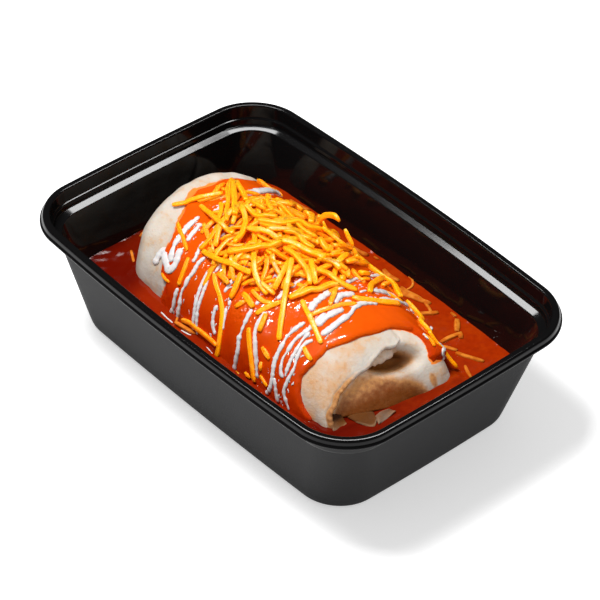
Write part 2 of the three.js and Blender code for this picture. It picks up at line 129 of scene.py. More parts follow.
class Finish(Recipe):
    """A material under way. Its places are millimetres in the part's own frame."""

    def __init__(self, name):
        self.material = bpy.data.materials.new(name)
        self.material.use_nodes = True
        super().__init__(self.material.node_tree)
        metres = self.node("ShaderNodeTexCoord", {}, {}, "Object")
        scale = {"operation": "SCALE"}
        self.place = self.node("ShaderNodeVectorMath", scale, {0: metres, "Scale": 1 / MM})

    def grain(self, size, detail=2.0, place=None):
        """Soft random relief from 0 to 1, in millimetres."""
        inputs = {"Vector": place or self.place, "Scale": 1 / size, "Detail": detail}
        return self.node("ShaderNodeTexNoise", {}, inputs, 0)

    def mark(self, name):
        """A number that the mesh carries at its points."""
        return self.node("ShaderNodeAttribute", {"attribute_name": name}, {}, "Fac")

    def bump(self, height, depth):
        """A normal from relief of that depth in millimetres."""
        return self.node("ShaderNodeBump", {}, {"Height": height, "Distance": depth * MM})

    def paint(self, inputs):
        shader = self.node("ShaderNodeBsdfPrincipled", {}, inputs)
        self.node("ShaderNodeOutputMaterial", {}, {"Surface": shader})
        return self.material


def add_mark(mesh, name, values):
    stored = mesh.attributes.new(name, "FLOAT", "POINT")
    stored.data.foreach_set("value", np.asarray(values, np.float32).ravel())


def solid(name, points, faces, finish, marks=None):
    """A smooth mesh object from points in millimetres, with its faces turned outward."""
    mesh = bpy.data.meshes.new(name)
    mesh.from_pydata((np.asarray(points) * MM).tolist(), [], faces)
    for mark, values in (marks or {}).items():
        add_mark(mesh, mark, values)
    shaped = bmesh.new()
    shaped.from_mesh(mesh)
    bmesh.ops.recalc_face_normals(shaped, faces=shaped.faces)
    shaped.to_mesh(mesh)
    shaped.free()
    mesh.shade_smooth()
    mesh.materials.append(finish)
    made = bpy.data.objects.new(name, mesh)
    bpy.context.scene.collection.objects.link(made)
    return made


def soft_light(name, turn, rise, width, height, power, sparkles=False):
    """A rectangular light aimed at the tray. turn goes from +X towards +Y. One that sparkles shows
    in gloss alone, and any other lights what it falls on without a reflection of itself."""
    data = bpy.data.lights.new(name, "AREA")
    data.shape = "RECTANGLE"
    data.size = width
    data.size_y = height
    data.energy = power
    light = bpy.data.objects.new(name, data)
    flat = math.cos(math.radians(rise))
    towards = Vector((flat * math.cos(math.radians(turn)), flat * math.sin(math.radians(turn)),
                      math.sin(math.radians(rise))))
    light.location = CAMERA_TARGET + towards * LIGHT_DISTANCE
    light.rotation_euler = towards.to_track_quat("Z", "Y").to_euler()
    light.visible_glossy = sparkles
    light.visible_diffuse = not sparkles
    bpy.context.scene.collection.objects.link(light)
    return light


def lit_by(piece, *lights):
    """Lets those lights reach that piece. Such a light reaches no piece that it isn't given to."""
    for light in lights:
        linking = light.light_linking
        if not linking.receiver_collection:
            linking.receiver_collection = bpy.data.collections.new("lit by " + light.name)
        linking.receiver_collection.objects.link(piece)


back = Vector((
    math.sin(CAMERA_TURN) * math.cos(CAMERA_RISE),
    -math.cos(CAMERA_TURN) * math.cos(CAMERA_RISE),
    math.sin(CAMERA_RISE),
))
level_right = (-back).cross(Vector((0, 0, 1))).normalized()
level_up = level_right.cross(-back)
right = level_right * math.cos(CAMERA_ROLL) + level_up * math.sin(CAMERA_ROLL)
up = level_up * math.cos(CAMERA_ROLL) - level_right * math.sin(CAMERA_ROLL)
camera_data = bpy.data.cameras.new("camera")
camera_data.lens = CAMERA_LENS
camera_data.sensor_width = SENSOR_WIDTH
camera = bpy.data.objects.new("camera", camera_data)
camera.matrix_world = Matrix((
    (right.x, up.x, back.x, CAMERA_TARGET.x + back.x * CAMERA_DISTANCE),
    (right.y, up.y, back.y, CAMERA_TARGET.y + back.y * CAMERA_DISTANCE),
    (right.z, up.z, back.z, CAMERA_TARGET.z + back.z * CAMERA_DISTANCE),
    (0, 0, 0, 1),
))
bpy.context.scene.collection.objects.link(camera)
bpy.context.scene.camera = camera
bpy.context.scene.view_settings.view_transform = "Standard"

surroundings = bpy.data.worlds.new("surroundings")
surroundings.use_nodes = True
bpy.context.scene.world = surroundings
sky = Recipe(surroundings.node_tree)
glossy_ray = sky.node("ShaderNodeLightPath", {}, {}, "Is Glossy Ray")
sky_strength = SKY_STRENGTH - (SKY_STRENGTH - SKY_IN_GLOSS) * glossy_ray
sky_light = sky.node("ShaderNodeBackground", {}, {"Color": (1, 1, 1), "Strength": sky_strength})
sky.node("ShaderNodeOutputWorld", {}, {"Surface": sky_light})

soft_light("key light", 214, 70, 0.5, 0.5, 24.0)
side_light = soft_light("side light", 275, 50, 0.9, 0.9, 3.4)
front_light = soft_light("front light", 350, 45, 0.9, 0.9, 12.5)
shoulder_light = soft_light("shoulder light", 45, 32, 0.6, 0.6, 5.0)
crest_light = soft_light("crest light", 300, 62, 0.9, 0.9, 13.0)
high_sparkle = soft_light("high sparkle", 150, 80, 0.24, 0.24, 26.0, sparkles=True)
low_sparkle = soft_light("low sparkle", 250, 58, 0.24, 0.24, 26.0, sparkles=True)
ledge_light = soft_light("ledge light", 132, 66, 0.95, 0.4, 38.0, sparkles=True)

table_finish = Finish("white_table")
table_top = solid(
    "table",
    [(x * TABLE_SIZE / 2, y * TABLE_SIZE / 2, -TABLE_DROP)
     for x, y in ((-1, -1), (1, -1), (1, 1), (-1, 1))],
    [(0, 1, 2, 3)],
    table_finish.paint({
        "Base Color": table_finish.mix(table_finish.grain(400), TABLE_SHADE, TABLE_WHITE),
        "Roughness": 0.9,
        "Specular IOR Level": 0.1,
        "Emission Color": (1, 1, 1),
        "Emission Strength": TABLE_GLOW,
    }),
)

# ---------------------------------------------------------------- tray
# A pressed black plastic meal tray with bowed sides, a rolled rim and two lid ledges. The inside is
# glossy and the wall outside has a fine frosted grain. It is one sheet, 1 mm thick.
TRAY_HEIGHT = 60.0
RIM = {"length": 222.0, "width": 151.4, "radius": 25.8, "end_bow": 1.24, "side_bow": 3.6}
BASE = {"length": 173.6, "width": 105.7, "radius": 14.7, "end_bow": 0.95, "side_bow": 1.63}
TRAY_BLACK = (0.0045, 0.0043, 0.0045)
TRAY_GREY = (0.006, 0.006, 0.0065)
TRAY_PITS = (0.012, 0.012, 0.013)
LEDGE_INSET = 9.9
LEDGE_DEPTH = 10.9
CORNER_STEPS = 22
LONG_SIDE_STEPS = 18
SHORT_SIDE_STEPS = 12
BEND_STEPS = 4
FILLET_BEND = 1.2
RIM_BEND = 0.8
LEDGE_BEND = 0.4
LONGEST_BEND = 0.42


def tray_level(size, inset):
    """Half length, half width, corner radius and bows of the ring that lies inset inside that size."""
    return np.array([
        size["length"] / 2 - size["end_bow"] - inset,
        size["width"] / 2 - size["side_bow"] - inset,
        size["radius"] - inset,
        size["end_bow"],
        size["side_bow"],
    ])


def tray_ring(level, height):
    """One ring round the tray: four corners and four bowed sides, from +X anticlockwise."""
    half_length, half_width, radius, end_bow, side_bow = level
    corners = [(1, 1), (-1, 1), (-1, -1), (1, -1)]
    x, y = [], []
    for index, (sign_x, sign_y) in enumerate(corners):
        turn = (index + np.linspace(0, 1, CORNER_STEPS + 1)) * math.pi / 2
        x.extend(sign_x * (half_length - radius) + radius * np.cos(turn))
        y.extend(sign_y * (half_width - radius) + radius * np.sin(turn))
        next_x, next_y = corners[(index + 1) % 4]
        end_x = next_x * (half_length - radius) + radius * math.cos(turn[-1])
        end_y = next_y * (half_width - radius) + radius * math.sin(turn[-1])
        steps = SHORT_SIDE_STEPS if index % 2 else LONG_SIDE_STEPS
        share = np.arange(1, steps) / steps
        x.extend(x[-1] + (end_x - x[-1]) * share)
        y.extend(y[-1] + (end_y - y[-1]) * share)
    x, y = np.array(x), np.array(y)
    along = np.clip(x / half_length, -1, 1)
    across = np.clip(y / half_width, -1, 1)
    x = x + end_bow * (1 - across**2) * along
    y = y + side_bow * (1 - along**2) * across
    return np.stack([x, y, np.full_like(x, height)], axis=-1)


def strip_faces(rings, count, wrapped=True, start=0):
    """Four-sided faces between rings of points that follow each other."""
    here = start + np.arange(rings - 1)[:, None] * count + np.arange(count if wrapped else count - 1)
    beside = start + np.arange(rings - 1)[:, None] * count + (np.arange(here.shape[1]) + 1) % count
    return np.stack([here, beside, beside + count, here + count], axis=-1).reshape(-1, 4).tolist()


def tube_faces(rings, count):
    """Faces along rings of points, with a cap at each end."""
    first, last = list(range(count)), list(range((rings - 1) * count, rings * count))
    return strip_faces(rings, count) + [first, last]


def bent_corners(profile, steps):
    """Rounds each inner corner of a profile of (ring, reach of the curve) with that many steps. The
    curve takes less than half of the straight stretch on either side."""
    rows = [profile[0][0]]
    for (before, _), (here, reach), (after, _) in zip(profile, profile[1:], profile[2:]):
        first, last = (here + away * min(reach / math.hypot(away[1], away[-1]), LONGEST_BEND)
                       for away in (before - here, after - here))
        for share in np.linspace(0, 1, steps + 1):
            rows.append((1 - share) ** 2 * first + 2 * share * (1 - share) * here + share**2 * last)
    rows.append(profile[-1][0])
    return rows


# The outlines from the underside round the rim to the floor: fillets as [growth of the base, height] and
# rims as [inset from the rim's size, depth below its top].
outside_fillet = [(0, 0), (2.7, 0.6), (4.7, 2.2), (5.6, 5)]
outside_rim = [(7.9, 11.8), (5.7, 11.3), (5.4, 8.1), (4.3, 7.7), (4, 1.5), (2.5, 1.5), (1.4, 4), (0.15, 4),
               (0, 3.5), (0.2, 3), (0.95, 2.6), (1.15, 1), (1.6, 0.25), (2.2, 0)]
inside_rim = [(4.3, 0), (4.8, 0.5), (5.1, 6.6), (6.2, 7), (6.35, 10.0), (LEDGE_INSET, LEDGE_DEPTH)]
inside_fillet = [(4.6, 5.6), (3.6, 2.9), (1.8, 1.45), (-0.6, 1)]
profile = []
for outline, bend in ((outside_fillet, FILLET_BEND), (outside_rim, RIM_BEND), (inside_rim, LEDGE_BEND),
                      (inside_fillet, FILLET_BEND)):
    for inset, level in outline:
        if outline in (outside_rim, inside_rim):
            ring = np.append(tray_level(RIM, inset), TRAY_HEIGHT - level)
        else:
            ring = np.append(tray_level(BASE, -inset), level)
        profile.append((ring, bend))
frosted_rows = 1 + (len(outside_fillet) - 1) * (BEND_STEPS + 1)
tray_rows = bent_corners(profile, BEND_STEPS)
tray_rings = [tray_ring(row[:5], row[5]) for row in tray_rows]
ring_count = len(tray_rings[0])
frosted = [1.0 if index <= frosted_rows else 0.0 for index in range(len(tray_rings))]

tray_finish = Finish("black_plastic")
frost = tray_finish.mark("frosted")
pits = tray_finish.grain(0.7, 3.0)
tray_material = tray_finish.paint({
    "Base Color": tray_finish.mix(frost, TRAY_BLACK, tray_finish.mix(pits, TRAY_GREY, TRAY_PITS)),
    "Roughness": 0.08 + 0.55 * frost + 0.03 * tray_finish.grain(30),
    "Specular IOR Level": 0.2,
    "Normal": tray_finish.bump(pits * frost + 0.15 * tray_finish.grain(14), 0.12),
})
tray = solid("tray_shell", np.concatenate(tray_rings), tube_faces(len(tray_rings), ring_count),
             tray_material, {"frosted": np.repeat(frosted, ring_count)})
lit_by(tray, ledge_light)
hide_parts("tray")
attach(tray, "root")

# ---------------------------------------------------------------- tortilla roll
# A large flour tortilla rolled round the filling. The back end is folded in and tucked, and the front
# end is folded like an envelope: a sunken panel, an open pocket, toasted brown patches and painted shade.
SAUCE_LEVEL = 24.0
WIDEST_LEVEL = 22.0
REST_LEVEL = 1.35
SECTIONS = np.array([  # share of the length, near side, far side and top of the roll
    (0, -36, 49.3, 49.8),
    (0.12, -37, 48, 50.6),
    (0.27, -38.2, 46.5, 52.4),
    (0.5, -40, 44, 53.6),
    (0.72, -40.5, 41, 53.2),
    (0.88, -40, 35.6, 51.4),
    (1, -38, 29.5, 49.5),
])
NEAR_SIDE, FAR_SIDE, TOP_SIDE = (np.polyfit(SECTIONS[:, 0], SECTIONS[:, side], 4) for side in (1, 2, 3))
# The roll's length and radius where it is unrolled into a flat [along, around].
ROLL_LENGTH = 146.0
ROLL_RADIUS = 38.0
ROLL_START = -81.3
UNROLL = np.array([ROLL_LENGTH, ROLL_RADIUS])
UPPER_ROUNDNESS = 2.12
LOWER_ROUNDNESS = 2.9
END_INSET = 8.0
FAR_CORNER_CUT = 0.3
BACK_END = -89.3
BACK_END_MIDDLE = 18
BACK_END_ROUNDING = 0.0047
FRONT_FOOT = 73
FOOT_TUCK = 0.2
FOLD_START = -30.0
END_FLAT = 0.72
ROUND_SHARE = 0.35
FRONT_SKEW = 0.14
FRONT_SLOPE = 0.72
FRONT_OUT = np.array([1, -FRONT_SKEW, FRONT_SLOPE]) / math.hypot(1, FRONT_SKEW, FRONT_SLOPE)
CREAM_FLOUR = (0.52, 0.425, 0.335)
PALE_FLOUR = (0.54, 0.485, 0.425)
GOLDEN = (0.60, 0.29, 0.10)
FRECKLE = (0.55, 0.29, 0.12)
# The toasted and scorched browns are darker and redder than toasting alone: low on the panel they also
# paint shade and red light bounced from the sauce.
TOASTED_AND_SHADED = (0.37, 0.17, 0.075)
SCORCHED_AND_SHADED = (0.20, 0.045, 0.008)
# The colour of painted shade in the pocket, the crevice, the foot, the fold and on the lips.
PAINTED_SHADE_BROWN = (0.13, 0.036, 0.003)
SMEAR_ORANGE = (0.84, 0.20, 0.006)


def smooth(low, high, value):
    """0 at low and 1 at high, with a smooth rise between."""
    share = np.clip((value - low) / (high - low), 0, 1)
    return share * share * (3 - 2 * share)


def soft_positive(value):
    """The value where it is well above 0, and 0 where it is well below, rounded between."""
    return (value + np.sqrt(value * value + 4)) / 2


def smooth_through(keys, values, wanted):
    """A smooth curve through rows of values at rising keys."""
    keys, values = np.asarray(keys, float), np.asarray(values, float)
    slopes = np.gradient(values, keys, axis=0)
    spot = np.clip(np.searchsorted(keys, wanted) - 1, 0, len(keys) - 2)
    gap = keys[spot + 1] - keys[spot]
    share = np.clip((wanted - keys[spot]) / gap, 0, 1)
    if values.ndim > 1:
        gap, share = gap[:, None], share[:, None]
    square, cube = share**2, share**3
    return ((2 * cube - 3 * square + 1) * values[spot] + (cube - 2 * square + share) * gap * slopes[spot]
            + (3 * square - 2 * cube) * values[spot + 1] + (cube - square) * gap * slopes[spot + 1])


def lumps(points, size, seed, waves=9):
    """Smooth random relief from about -1 to 1, with bumps about that wide."""
    random = np.random.default_rng(seed)
    total = 0
    for _ in range(waves):
        direction = random.normal(size=points.shape[-1])
        direction *= math.pi / (np.linalg.norm(direction) * size * random.uniform(0.75, 1.6))
        total = total + np.sin(points @ direction + random.uniform(0, 2 * math.pi))
    return total / math.sqrt(waves * 1.5)


def unit(vectors):
    return vectors / np.linalg.norm(vectors, axis=-1, keepdims=True)


def section(share, grow):
    """The roll's middle across the tray there, and its half width, rise and drop from its widest level."""
    share = np.clip(share, 0, 1)
    near, far = np.polyval(NEAR_SIDE, share), np.polyval(FAR_SIDE, share)
    return ((near + far) / 2, (far - near) / 2 + grow, np.polyval(TOP_SIDE, share) - WIDEST_LEVEL + grow,
            WIDEST_LEVEL - REST_LEVEL + grow)


def back_face(y, grow):
    return BACK_END + BACK_END_ROUNDING * (y - BACK_END_MIDDLE) ** 2 - grow


def front_face(y, z, grow):
    lean = FRONT_SLOPE * (soft_positive(z - SAUCE_LEVEL) - soft_positive(FOLD_START))
    tuck = FOOT_TUCK * np.maximum(WIDEST_LEVEL - z, 0)
    return FRONT_FOOT + FRONT_SKEW * y - lean - tuck + grow * math.hypot(1, FRONT_SLOPE)


def end_size(depth):
    """Size and inset of an end's ring, from its edge (0) to its middle (1)."""
    turn = (1 - np.clip(depth / ROUND_SHARE, 0, 1)) * math.pi / 2
    flat = np.clip((depth - ROUND_SHARE) / (1 - ROUND_SHARE), 0, 1)
    size = (END_FLAT + (1 - END_FLAT) * np.sin(turn)) * (1 - flat)
    return size, END_INSET * (1 - np.cos(turn)) - 0.6 * np.sin(flat * math.pi / 2)


def relief(angle, share):
    """Slow swells of the filling under the tortilla."""
    return 0.34 * (np.sin(3 * angle + 5 * share + 1) + 0.8 * np.sin(5 * angle - 9 * share + 2)
                   + 0.7 * np.sin(4 * angle + 17 * share) + 0.5 * np.sin(7 * angle + 26 * share + 4)) / 1.6


def roll_point(angle, station, grow=0.0):
    """A point on the roll. station goes from the back end's middle (0) over its edge (1) and the
    folded end's edge (2) to the middle of the folded end (3); angle 0 is the far side, in radians."""
    depth = np.where(station < 1, 1 - station, np.where(station > 2, station - 2, 0))
    share = np.clip(station - 1, 0, 1)
    size, inset = end_size(depth)
    grow = grow + relief(angle, share) * np.clip(size * 1.4 - 0.4, 0, 1)
    middle, half_width, rise, drop = section(share, grow)
    across, upward = np.cos(angle), np.sin(angle)
    power = 2 / np.where(upward >= 0, UPPER_ROUNDNESS, LOWER_ROUNDNESS)
    y = middle + size * half_width * np.sign(across) * np.abs(across) ** power
    z = WIDEST_LEVEL + size * np.where(upward >= 0, rise, drop) * np.sign(upward) * np.abs(upward) ** power
    start = back_face(y, grow) + inset
    far_corner = np.exp(-(np.sin(angle / 2) / 0.25) ** 2)
    end = front_face(y, z, grow) - inset * (1 - FAR_CORNER_CUT * far_corner)
    return np.stack([start + (end - start) * share, y, z], axis=-1)


def grid_normals(points, wrapped):
    """Unit normals of a grid of points, outward for rings that turn from +Y over +Z along +X."""
    around = np.roll(points, -1, 1) - np.roll(points, 1, 1) if wrapped else np.gradient(points, axis=1)
    normals = np.cross(around, np.gradient(points, axis=0))
    return normals / np.maximum(np.linalg.norm(normals, axis=-1, keepdims=True), 1e-9)


# The free edge of the upper flap across the folded end, from the pocket's corner to the near foot, as
# [across, height].
FLAP_EDGE = np.array([
    (14.0, 44.4), (11.4, 45.0), (7.2, 44.7), (2.2, 45.5), (-4.2, 44.2), (-9.9, 41.9), (-17.0, 40.7),
    (-21.3, 39.3), (-26.0, 37.1), (-30.6, 33.6), (-33.8, 30.2), (-35.2, 26.3), (-35.6, 20),
])
# The line where the panel meets the foot, as [across, height].
FOOT_LINE = np.array([(-36, 28.8), (-26.8, 27.7), (-17, 26.5), (-9, 25.2), (-2.3, 24.5), (19, 24.7)])
FACE_STRETCH = math.hypot(1, FRONT_SLOPE)
PANEL_DEPTH = 2.6
PANEL_FADE = 17
POCKET_DEPTH = 13.0
POCKET_MIDDLE = (3.6, 40.0)
POCKET_HALF = (11.4, 4.9)
POCKET_TILT = -10
FOOT_DEPTH = 5.0
BACK_FOLD_SOFTNESS = 2
NEAR_FOLD_SINK = 1.1
NEAR_FOLD_PLACE = (6, 24)
NEAR_FOLD_SLOPE = 0.55
NEAR_FOLD_WAVE = 3
FAR_FOLD_SINK = 0.5
FAR_FOLD_PLACE = (20, 26)
FAR_FOLD_SLOPE = 0.9
PANEL_TAN_AND_SHADE = 0.42
LOW_TAN_AND_SHADE = 0.5
LOW_DARKENING_HEIGHTS = (40, 27)
POCKET_TAN = 0.45
SCAR_TAN = 0.54
PANEL_SHADE = 0.28
FOOT_SHADE = 0.42
FOOT_SHADE_HEIGHTS = (33.5, 29)
SCAR_MIDDLE = (17.4, 27.8)
SCAR_HALF = (1.9, 3.8)


def face_place(points):
    """Places on the folded end as [across, up the slope]."""
    return np.stack([points[..., 1], points[..., 2] * FACE_STRETCH], axis=-1)


def below_edge(points):
    """Distance from the flap's free edge along the folded end, positive on the panel below it."""
    line = FLAP_EDGE * (1, FACE_STRETCH)
    place = face_place(points)
    nearest = np.full(place.shape[:-1], 1e9)
    signed = np.zeros(place.shape[:-1])
    for first, last in zip(line, line[1:]):
        span = last - first
        share = np.clip(((place - first) @ span) / (span @ span), 0, 1)
        offset = place - (first + share[..., None] * span)
        distance = np.linalg.norm(offset, axis=-1)
        side = np.sign(span[0] * offset[..., 1] - span[1] * offset[..., 0])
        closer = distance < nearest
        signed = np.where(closer, distance * side, signed)
        nearest = np.minimum(distance, nearest)
    return signed


def dent(points, middle, half_size, tilt):
    """A soft hollow on the folded end: 1 in its middle and 0 outside."""
    place = face_place(points) - face_place(np.array([0, *middle]))
    turn = math.radians(tilt)
    along = (place[..., 0] * math.cos(turn) + place[..., 1] * math.sin(turn)) / half_size[0]
    aside = (place[..., 1] * math.cos(turn) - place[..., 0] * math.sin(turn)) / half_size[1]
    return np.exp(-(along**2 + aside**2) ** 1.9)


back_stations = np.concatenate([np.linspace(0.02, 0.64, 22), np.linspace(0.66, 1, 14)])
side_stations = np.linspace(1, 2, 120)[1:-1]
front_stations = np.concatenate([np.linspace(2, 2.34, 18), np.linspace(2.36, 2.985, 46)])
stations = np.concatenate([back_stations, side_stations, front_stations])
angles = np.linspace(0, 2 * math.pi, 340, endpoint=False)
skin = roll_point(angles[None, :], stations[:, None])
outward = grid_normals(skin, True)
facing = smooth(2.45, 2.6, stations)[:, None, None]
outward = unit(outward * (1 - facing) + FRONT_OUT * facing)
on_front = smooth(1.93, 2.02, stations)[:, None]
edge_distance = below_edge(skin)
across_skin, height_skin = skin[..., 1], skin[..., 2]

# The skin sinks at the panel below the flap, in the pocket, at the foot and round the back end's folds.
left_depth = PANEL_DEPTH * (1 + smooth(-5, -32, across_skin))
open_side = smooth(13.0, 4.0, across_skin)
panel_depth = left_depth * np.exp(-np.maximum(edge_distance, 0) / PANEL_FADE)
panel_depth = panel_depth * open_side * np.where(edge_distance > -14, 1, 0.9)
pocket = dent(skin, POCKET_MIDDLE, POCKET_HALF, POCKET_TILT)
sink = on_front * (panel_depth + POCKET_DEPTH * pocket)
foot_line = np.interp(across_skin, FOOT_LINE[:, 0], FOOT_LINE[:, 1])
under_foot = on_front * smooth(0.3, -1.3, height_skin - foot_line) * smooth(6, -4, across_skin)
on_back = smooth(1.0, 0.9, stations)[:, None]
over_near = height_skin - NEAR_FOLD_PLACE[1] - NEAR_FOLD_SLOPE * (across_skin - NEAR_FOLD_PLACE[0])
over_near = over_near + NEAR_FOLD_WAVE * np.sin(across_skin / 9)
past_far = FAR_FOLD_SLOPE * (across_skin - FAR_FOLD_PLACE[0]) - (height_skin - FAR_FOLD_PLACE[1])
near_fold = smooth(-BACK_FOLD_SOFTNESS, BACK_FOLD_SOFTNESS, over_near)
far_fold = smooth(-BACK_FOLD_SOFTNESS, BACK_FOLD_SOFTNESS, past_far)
sink = sink + on_back * (NEAR_FOLD_SINK * (1 - near_fold) * (1 - far_fold) + FAR_FOLD_SINK * far_fold)
sink = sink + FOOT_DEPTH * under_foot
fine = 0.16 * lumps(skin, 7, 3) + 0.1 * lumps(skin, 3.2, 4)
skin = skin - outward * (sink - fine)[..., None]

# Painted shade darkens the pocket, the crevice under the flap's edge, the foot and the panel, and the panel
# is tanned, more so low down.
crevice = np.exp(-np.abs(edge_distance) / 3.0) * open_side
shaded = on_front * np.clip(smooth(0.2, 0.8, pocket) + 0.75 * crevice + under_foot, 0, 1)
low_down = smooth(*LOW_DARKENING_HEIGHTS, height_skin + 0.5 * lumps(skin, 11, 6))
at_foot = smooth(*FOOT_SHADE_HEIGHTS, height_skin + 0.5 * lumps(skin, 8, 9))
# Low on the panel the tan is in part toasting and in part painted shade and painted red light bounced from
# the sauce.
tan_and_shade = on_front * smooth(-1, 4, edge_distance) * (PANEL_TAN_AND_SHADE + LOW_TAN_AND_SHADE * low_down)
tan_and_shade = tan_and_shade * (0.08 + 0.92 * smooth(19, 3, across_skin + 1.2 * (height_skin - 26) + 1.5 * lumps(skin, 9, 7)))
on_panel = on_front * smooth(-1, 3, edge_distance) * smooth(15, 6, across_skin)
shaded = np.maximum(shaded, on_panel * (PANEL_SHADE - 0.05 * low_down + FOOT_SHADE * at_foot))
scar = np.exp(-(((across_skin - SCAR_MIDDLE[0]) / SCAR_HALF[0]) ** 2
                + ((height_skin - SCAR_MIDDLE[1]) / SCAR_HALF[1]) ** 2) ** 2)
tan_and_shade = np.maximum(tan_and_shade, SCAR_TAN * on_front * scar)
tan_and_shade = np.maximum(tan_and_shade, POCKET_TAN * on_front * smooth(0.1, 0.5, pocket))

tortilla_finish = Finish("toasted_flour_tortilla")
blotch = tortilla_finish.grain(9, 3.0)
speckle = tortilla_finish.grain(2.2, 3.0)
fine_grain = tortilla_finish.grain(0.9, 2.0)
toast_and_shade = tortilla_finish.mark("toast_and_shade")
painted_shade = tortilla_finish.mark("shaded")
smeared = tortilla_finish.mark("smeared")
flour = tortilla_finish.mix(blotch.rising(0.35, 0.65), PALE_FLOUR, CREAM_FLOUR)
spots = (blotch * 0.45 + speckle * 0.55).rising(0.53, 0.64) * 0.42
flour = tortilla_finish.mix(spots, flour, FRECKLE)
browned = tortilla_finish.mix((toast_and_shade * 1.6 + 0.9 * blotch - 0.5).rising(0.05, 0.85), flour, GOLDEN)
browned = tortilla_finish.mix((toast_and_shade * 1.2 + 1.1 * speckle - 0.6).rising(0.3, 0.95), browned, TOASTED_AND_SHADED)
browned = tortilla_finish.mix((toast_and_shade * 1.1 + 0.5 * speckle - 0.75).rising(0.0, 0.6), browned, SCORCHED_AND_SHADED)
# Painted shade: where the mesh marks shade, the colour goes to a dark shade brown.
browned = tortilla_finish.mix(painted_shade * 0.95, browned, PAINTED_SHADE_BROWN)
smear = (smeared * (0.25 + 1.3 * speckle)).rising(0.14, 0.5) * 0.94
browned = tortilla_finish.mix(smear, browned, SMEAR_ORANGE)
tortilla_material = tortilla_finish.paint({
    "Base Color": browned,
    "Roughness": 0.62 - 0.12 * speckle,
    "Specular IOR Level": 0.35,
    "Subsurface Weight": 0.16,
    "Subsurface Radius": (1.8, 0.8, 0.4),
    "Subsurface Scale": 0.0018,
    "Normal": tortilla_finish.bump(blotch + 0.5 * speckle + 0.45 * fine_grain, 0.4),
})
roll = solid("tortilla_roll", skin.reshape(-1, 3), tube_faces(len(stations), len(angles)),
             tortilla_material, {"toast_and_shade": tan_and_shade, "shaded": shaded})
lit_by(roll, front_light, shoulder_light)
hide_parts("burrito")
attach(roll, "root")

# ---------------------------------------------------------------- flap and foot lips
# The outer layer of the tortilla comes over the folded end and stops in a free, slightly wavy edge
# above the panel. Edges of inner layers stick out at the foot, just above the sauce.
TORTILLA = 2.5
FLAP_BACK_STATION = 1.80
FLAP_SINK = 2.2
FLAP_SPACING = 1.35
FLAP_OVERLAP = 0.2
FLAP_CURL = 0.35
FLAP_BLEND = 0.5
STRIPE_WIDTH = 3.0


def shell(upper, lower):
    """Closes two grids of points that lie over each other into one solid."""
    rows, columns = upper.shape[:2]
    half = rows * columns
    faces = strip_faces(rows, columns, False) + strip_faces(rows, columns, False, half)
    border = ([(0, column) for column in range(columns)]
              + [(line, columns - 1) for line in range(1, rows)]
              + [(rows - 1, column) for column in range(columns - 2, -1, -1)]
              + [(line, 0) for line in range(rows - 2, 0, -1)])
    loop = [line * columns + column for line, column in border]
    for here, beside in zip(loop, loop[1:] + loop[:1]):
        faces.append((here, beside, beside + half, here + half))
    return np.concatenate([upper.reshape(-1, 3), lower.reshape(-1, 3)]), faces


def edge_station(across, height):
    """Angle and station of a place on the folded end."""
    middle, half_width, rise, drop = section(1.0, 0.0)
    aside = (across - middle) / half_width
    over = (height - WIDEST_LEVEL) / np.where(height >= WIDEST_LEVEL, rise, drop)
    roundness = np.where(height >= WIDEST_LEVEL, UPPER_ROUNDNESS, LOWER_ROUNDNESS)
    size = (np.abs(aside) ** roundness + np.abs(over) ** roundness) ** (1 / roundness)
    power = roundness / 2
    angle = np.arctan2(np.sign(over) * np.abs(over / size) ** power,
                       np.sign(aside) * np.abs(aside / size) ** power)
    turn = np.arcsin(np.clip((size - END_FLAT) / (1 - END_FLAT), 0, 1))
    depth = np.where(size > END_FLAT, ROUND_SHARE * (1 - turn / (math.pi / 2)),
                     ROUND_SHARE + (1 - ROUND_SHARE) * (1 - size / END_FLAT))
    return np.mod(angle, 2 * math.pi), 2 + depth


def run_along(path):
    """The way run along a path up to each of its points."""
    return np.concatenate([[0], np.cumsum(np.linalg.norm(np.diff(path, axis=0), axis=1))])


edge_angle, edge_stop = edge_station(FLAP_EDGE[:, 0], FLAP_EDGE[:, 1])
flap_angles = np.linspace(edge_angle[0], edge_angle[-1] + 0.1, 190)
flap_stop = smooth_through(edge_angle, edge_stop, flap_angles)
wave_place = np.stack([flap_angles * 30, flap_angles * 7], axis=-1)
flap_stop = flap_stop + 0.006 * lumps(wave_place, 4, 8)
stop_across = roll_point(flap_angles, flap_stop)[:, 1]
right_end = FLAP_SINK * (0.2 * smooth(8, 12, stop_across) + 0.8 * smooth(11, 14, stop_across))
outer_rows, inner_rows, lip_rows = 46, 14, 5
flap_columns = []
for angle, stop, sunk in zip(flap_angles, flap_stop, right_end):
    share = np.linspace(0, 1, outer_rows) ** FLAP_SPACING
    outer_station = stop + (FLAP_BACK_STATION - stop) * share[::-1]
    lift = FLAP_CURL * np.exp(-share[::-1] * 9) - sunk - FLAP_BLEND * smooth(0.8, 1.0, share[::-1])
    outer = roll_point(angle, outer_station, lift)
    inner_station = stop + (FLAP_BACK_STATION - stop) * np.linspace(0, 1, inner_rows) ** FLAP_SPACING
    inner = roll_point(angle, inner_station, -TORTILLA + FLAP_OVERLAP - sunk)
    tip = roll_point(angle, np.array([stop, stop + 0.02]), -TORTILLA / 2 - sunk)
    ahead = unit(tip[1] - tip[0]) * TORTILLA / 2
    turn = np.linspace(0, math.pi, lip_rows + 2)[1:-1, None]
    centre = (outer[-1] + inner[0]) / 2
    lip = centre + (outer[-1] - centre) * np.cos(turn) + ahead * np.sin(turn)
    flap_columns.append(np.concatenate([outer, lip, inner]))
flap = np.array(flap_columns)
flap_ring = flap.shape[1]
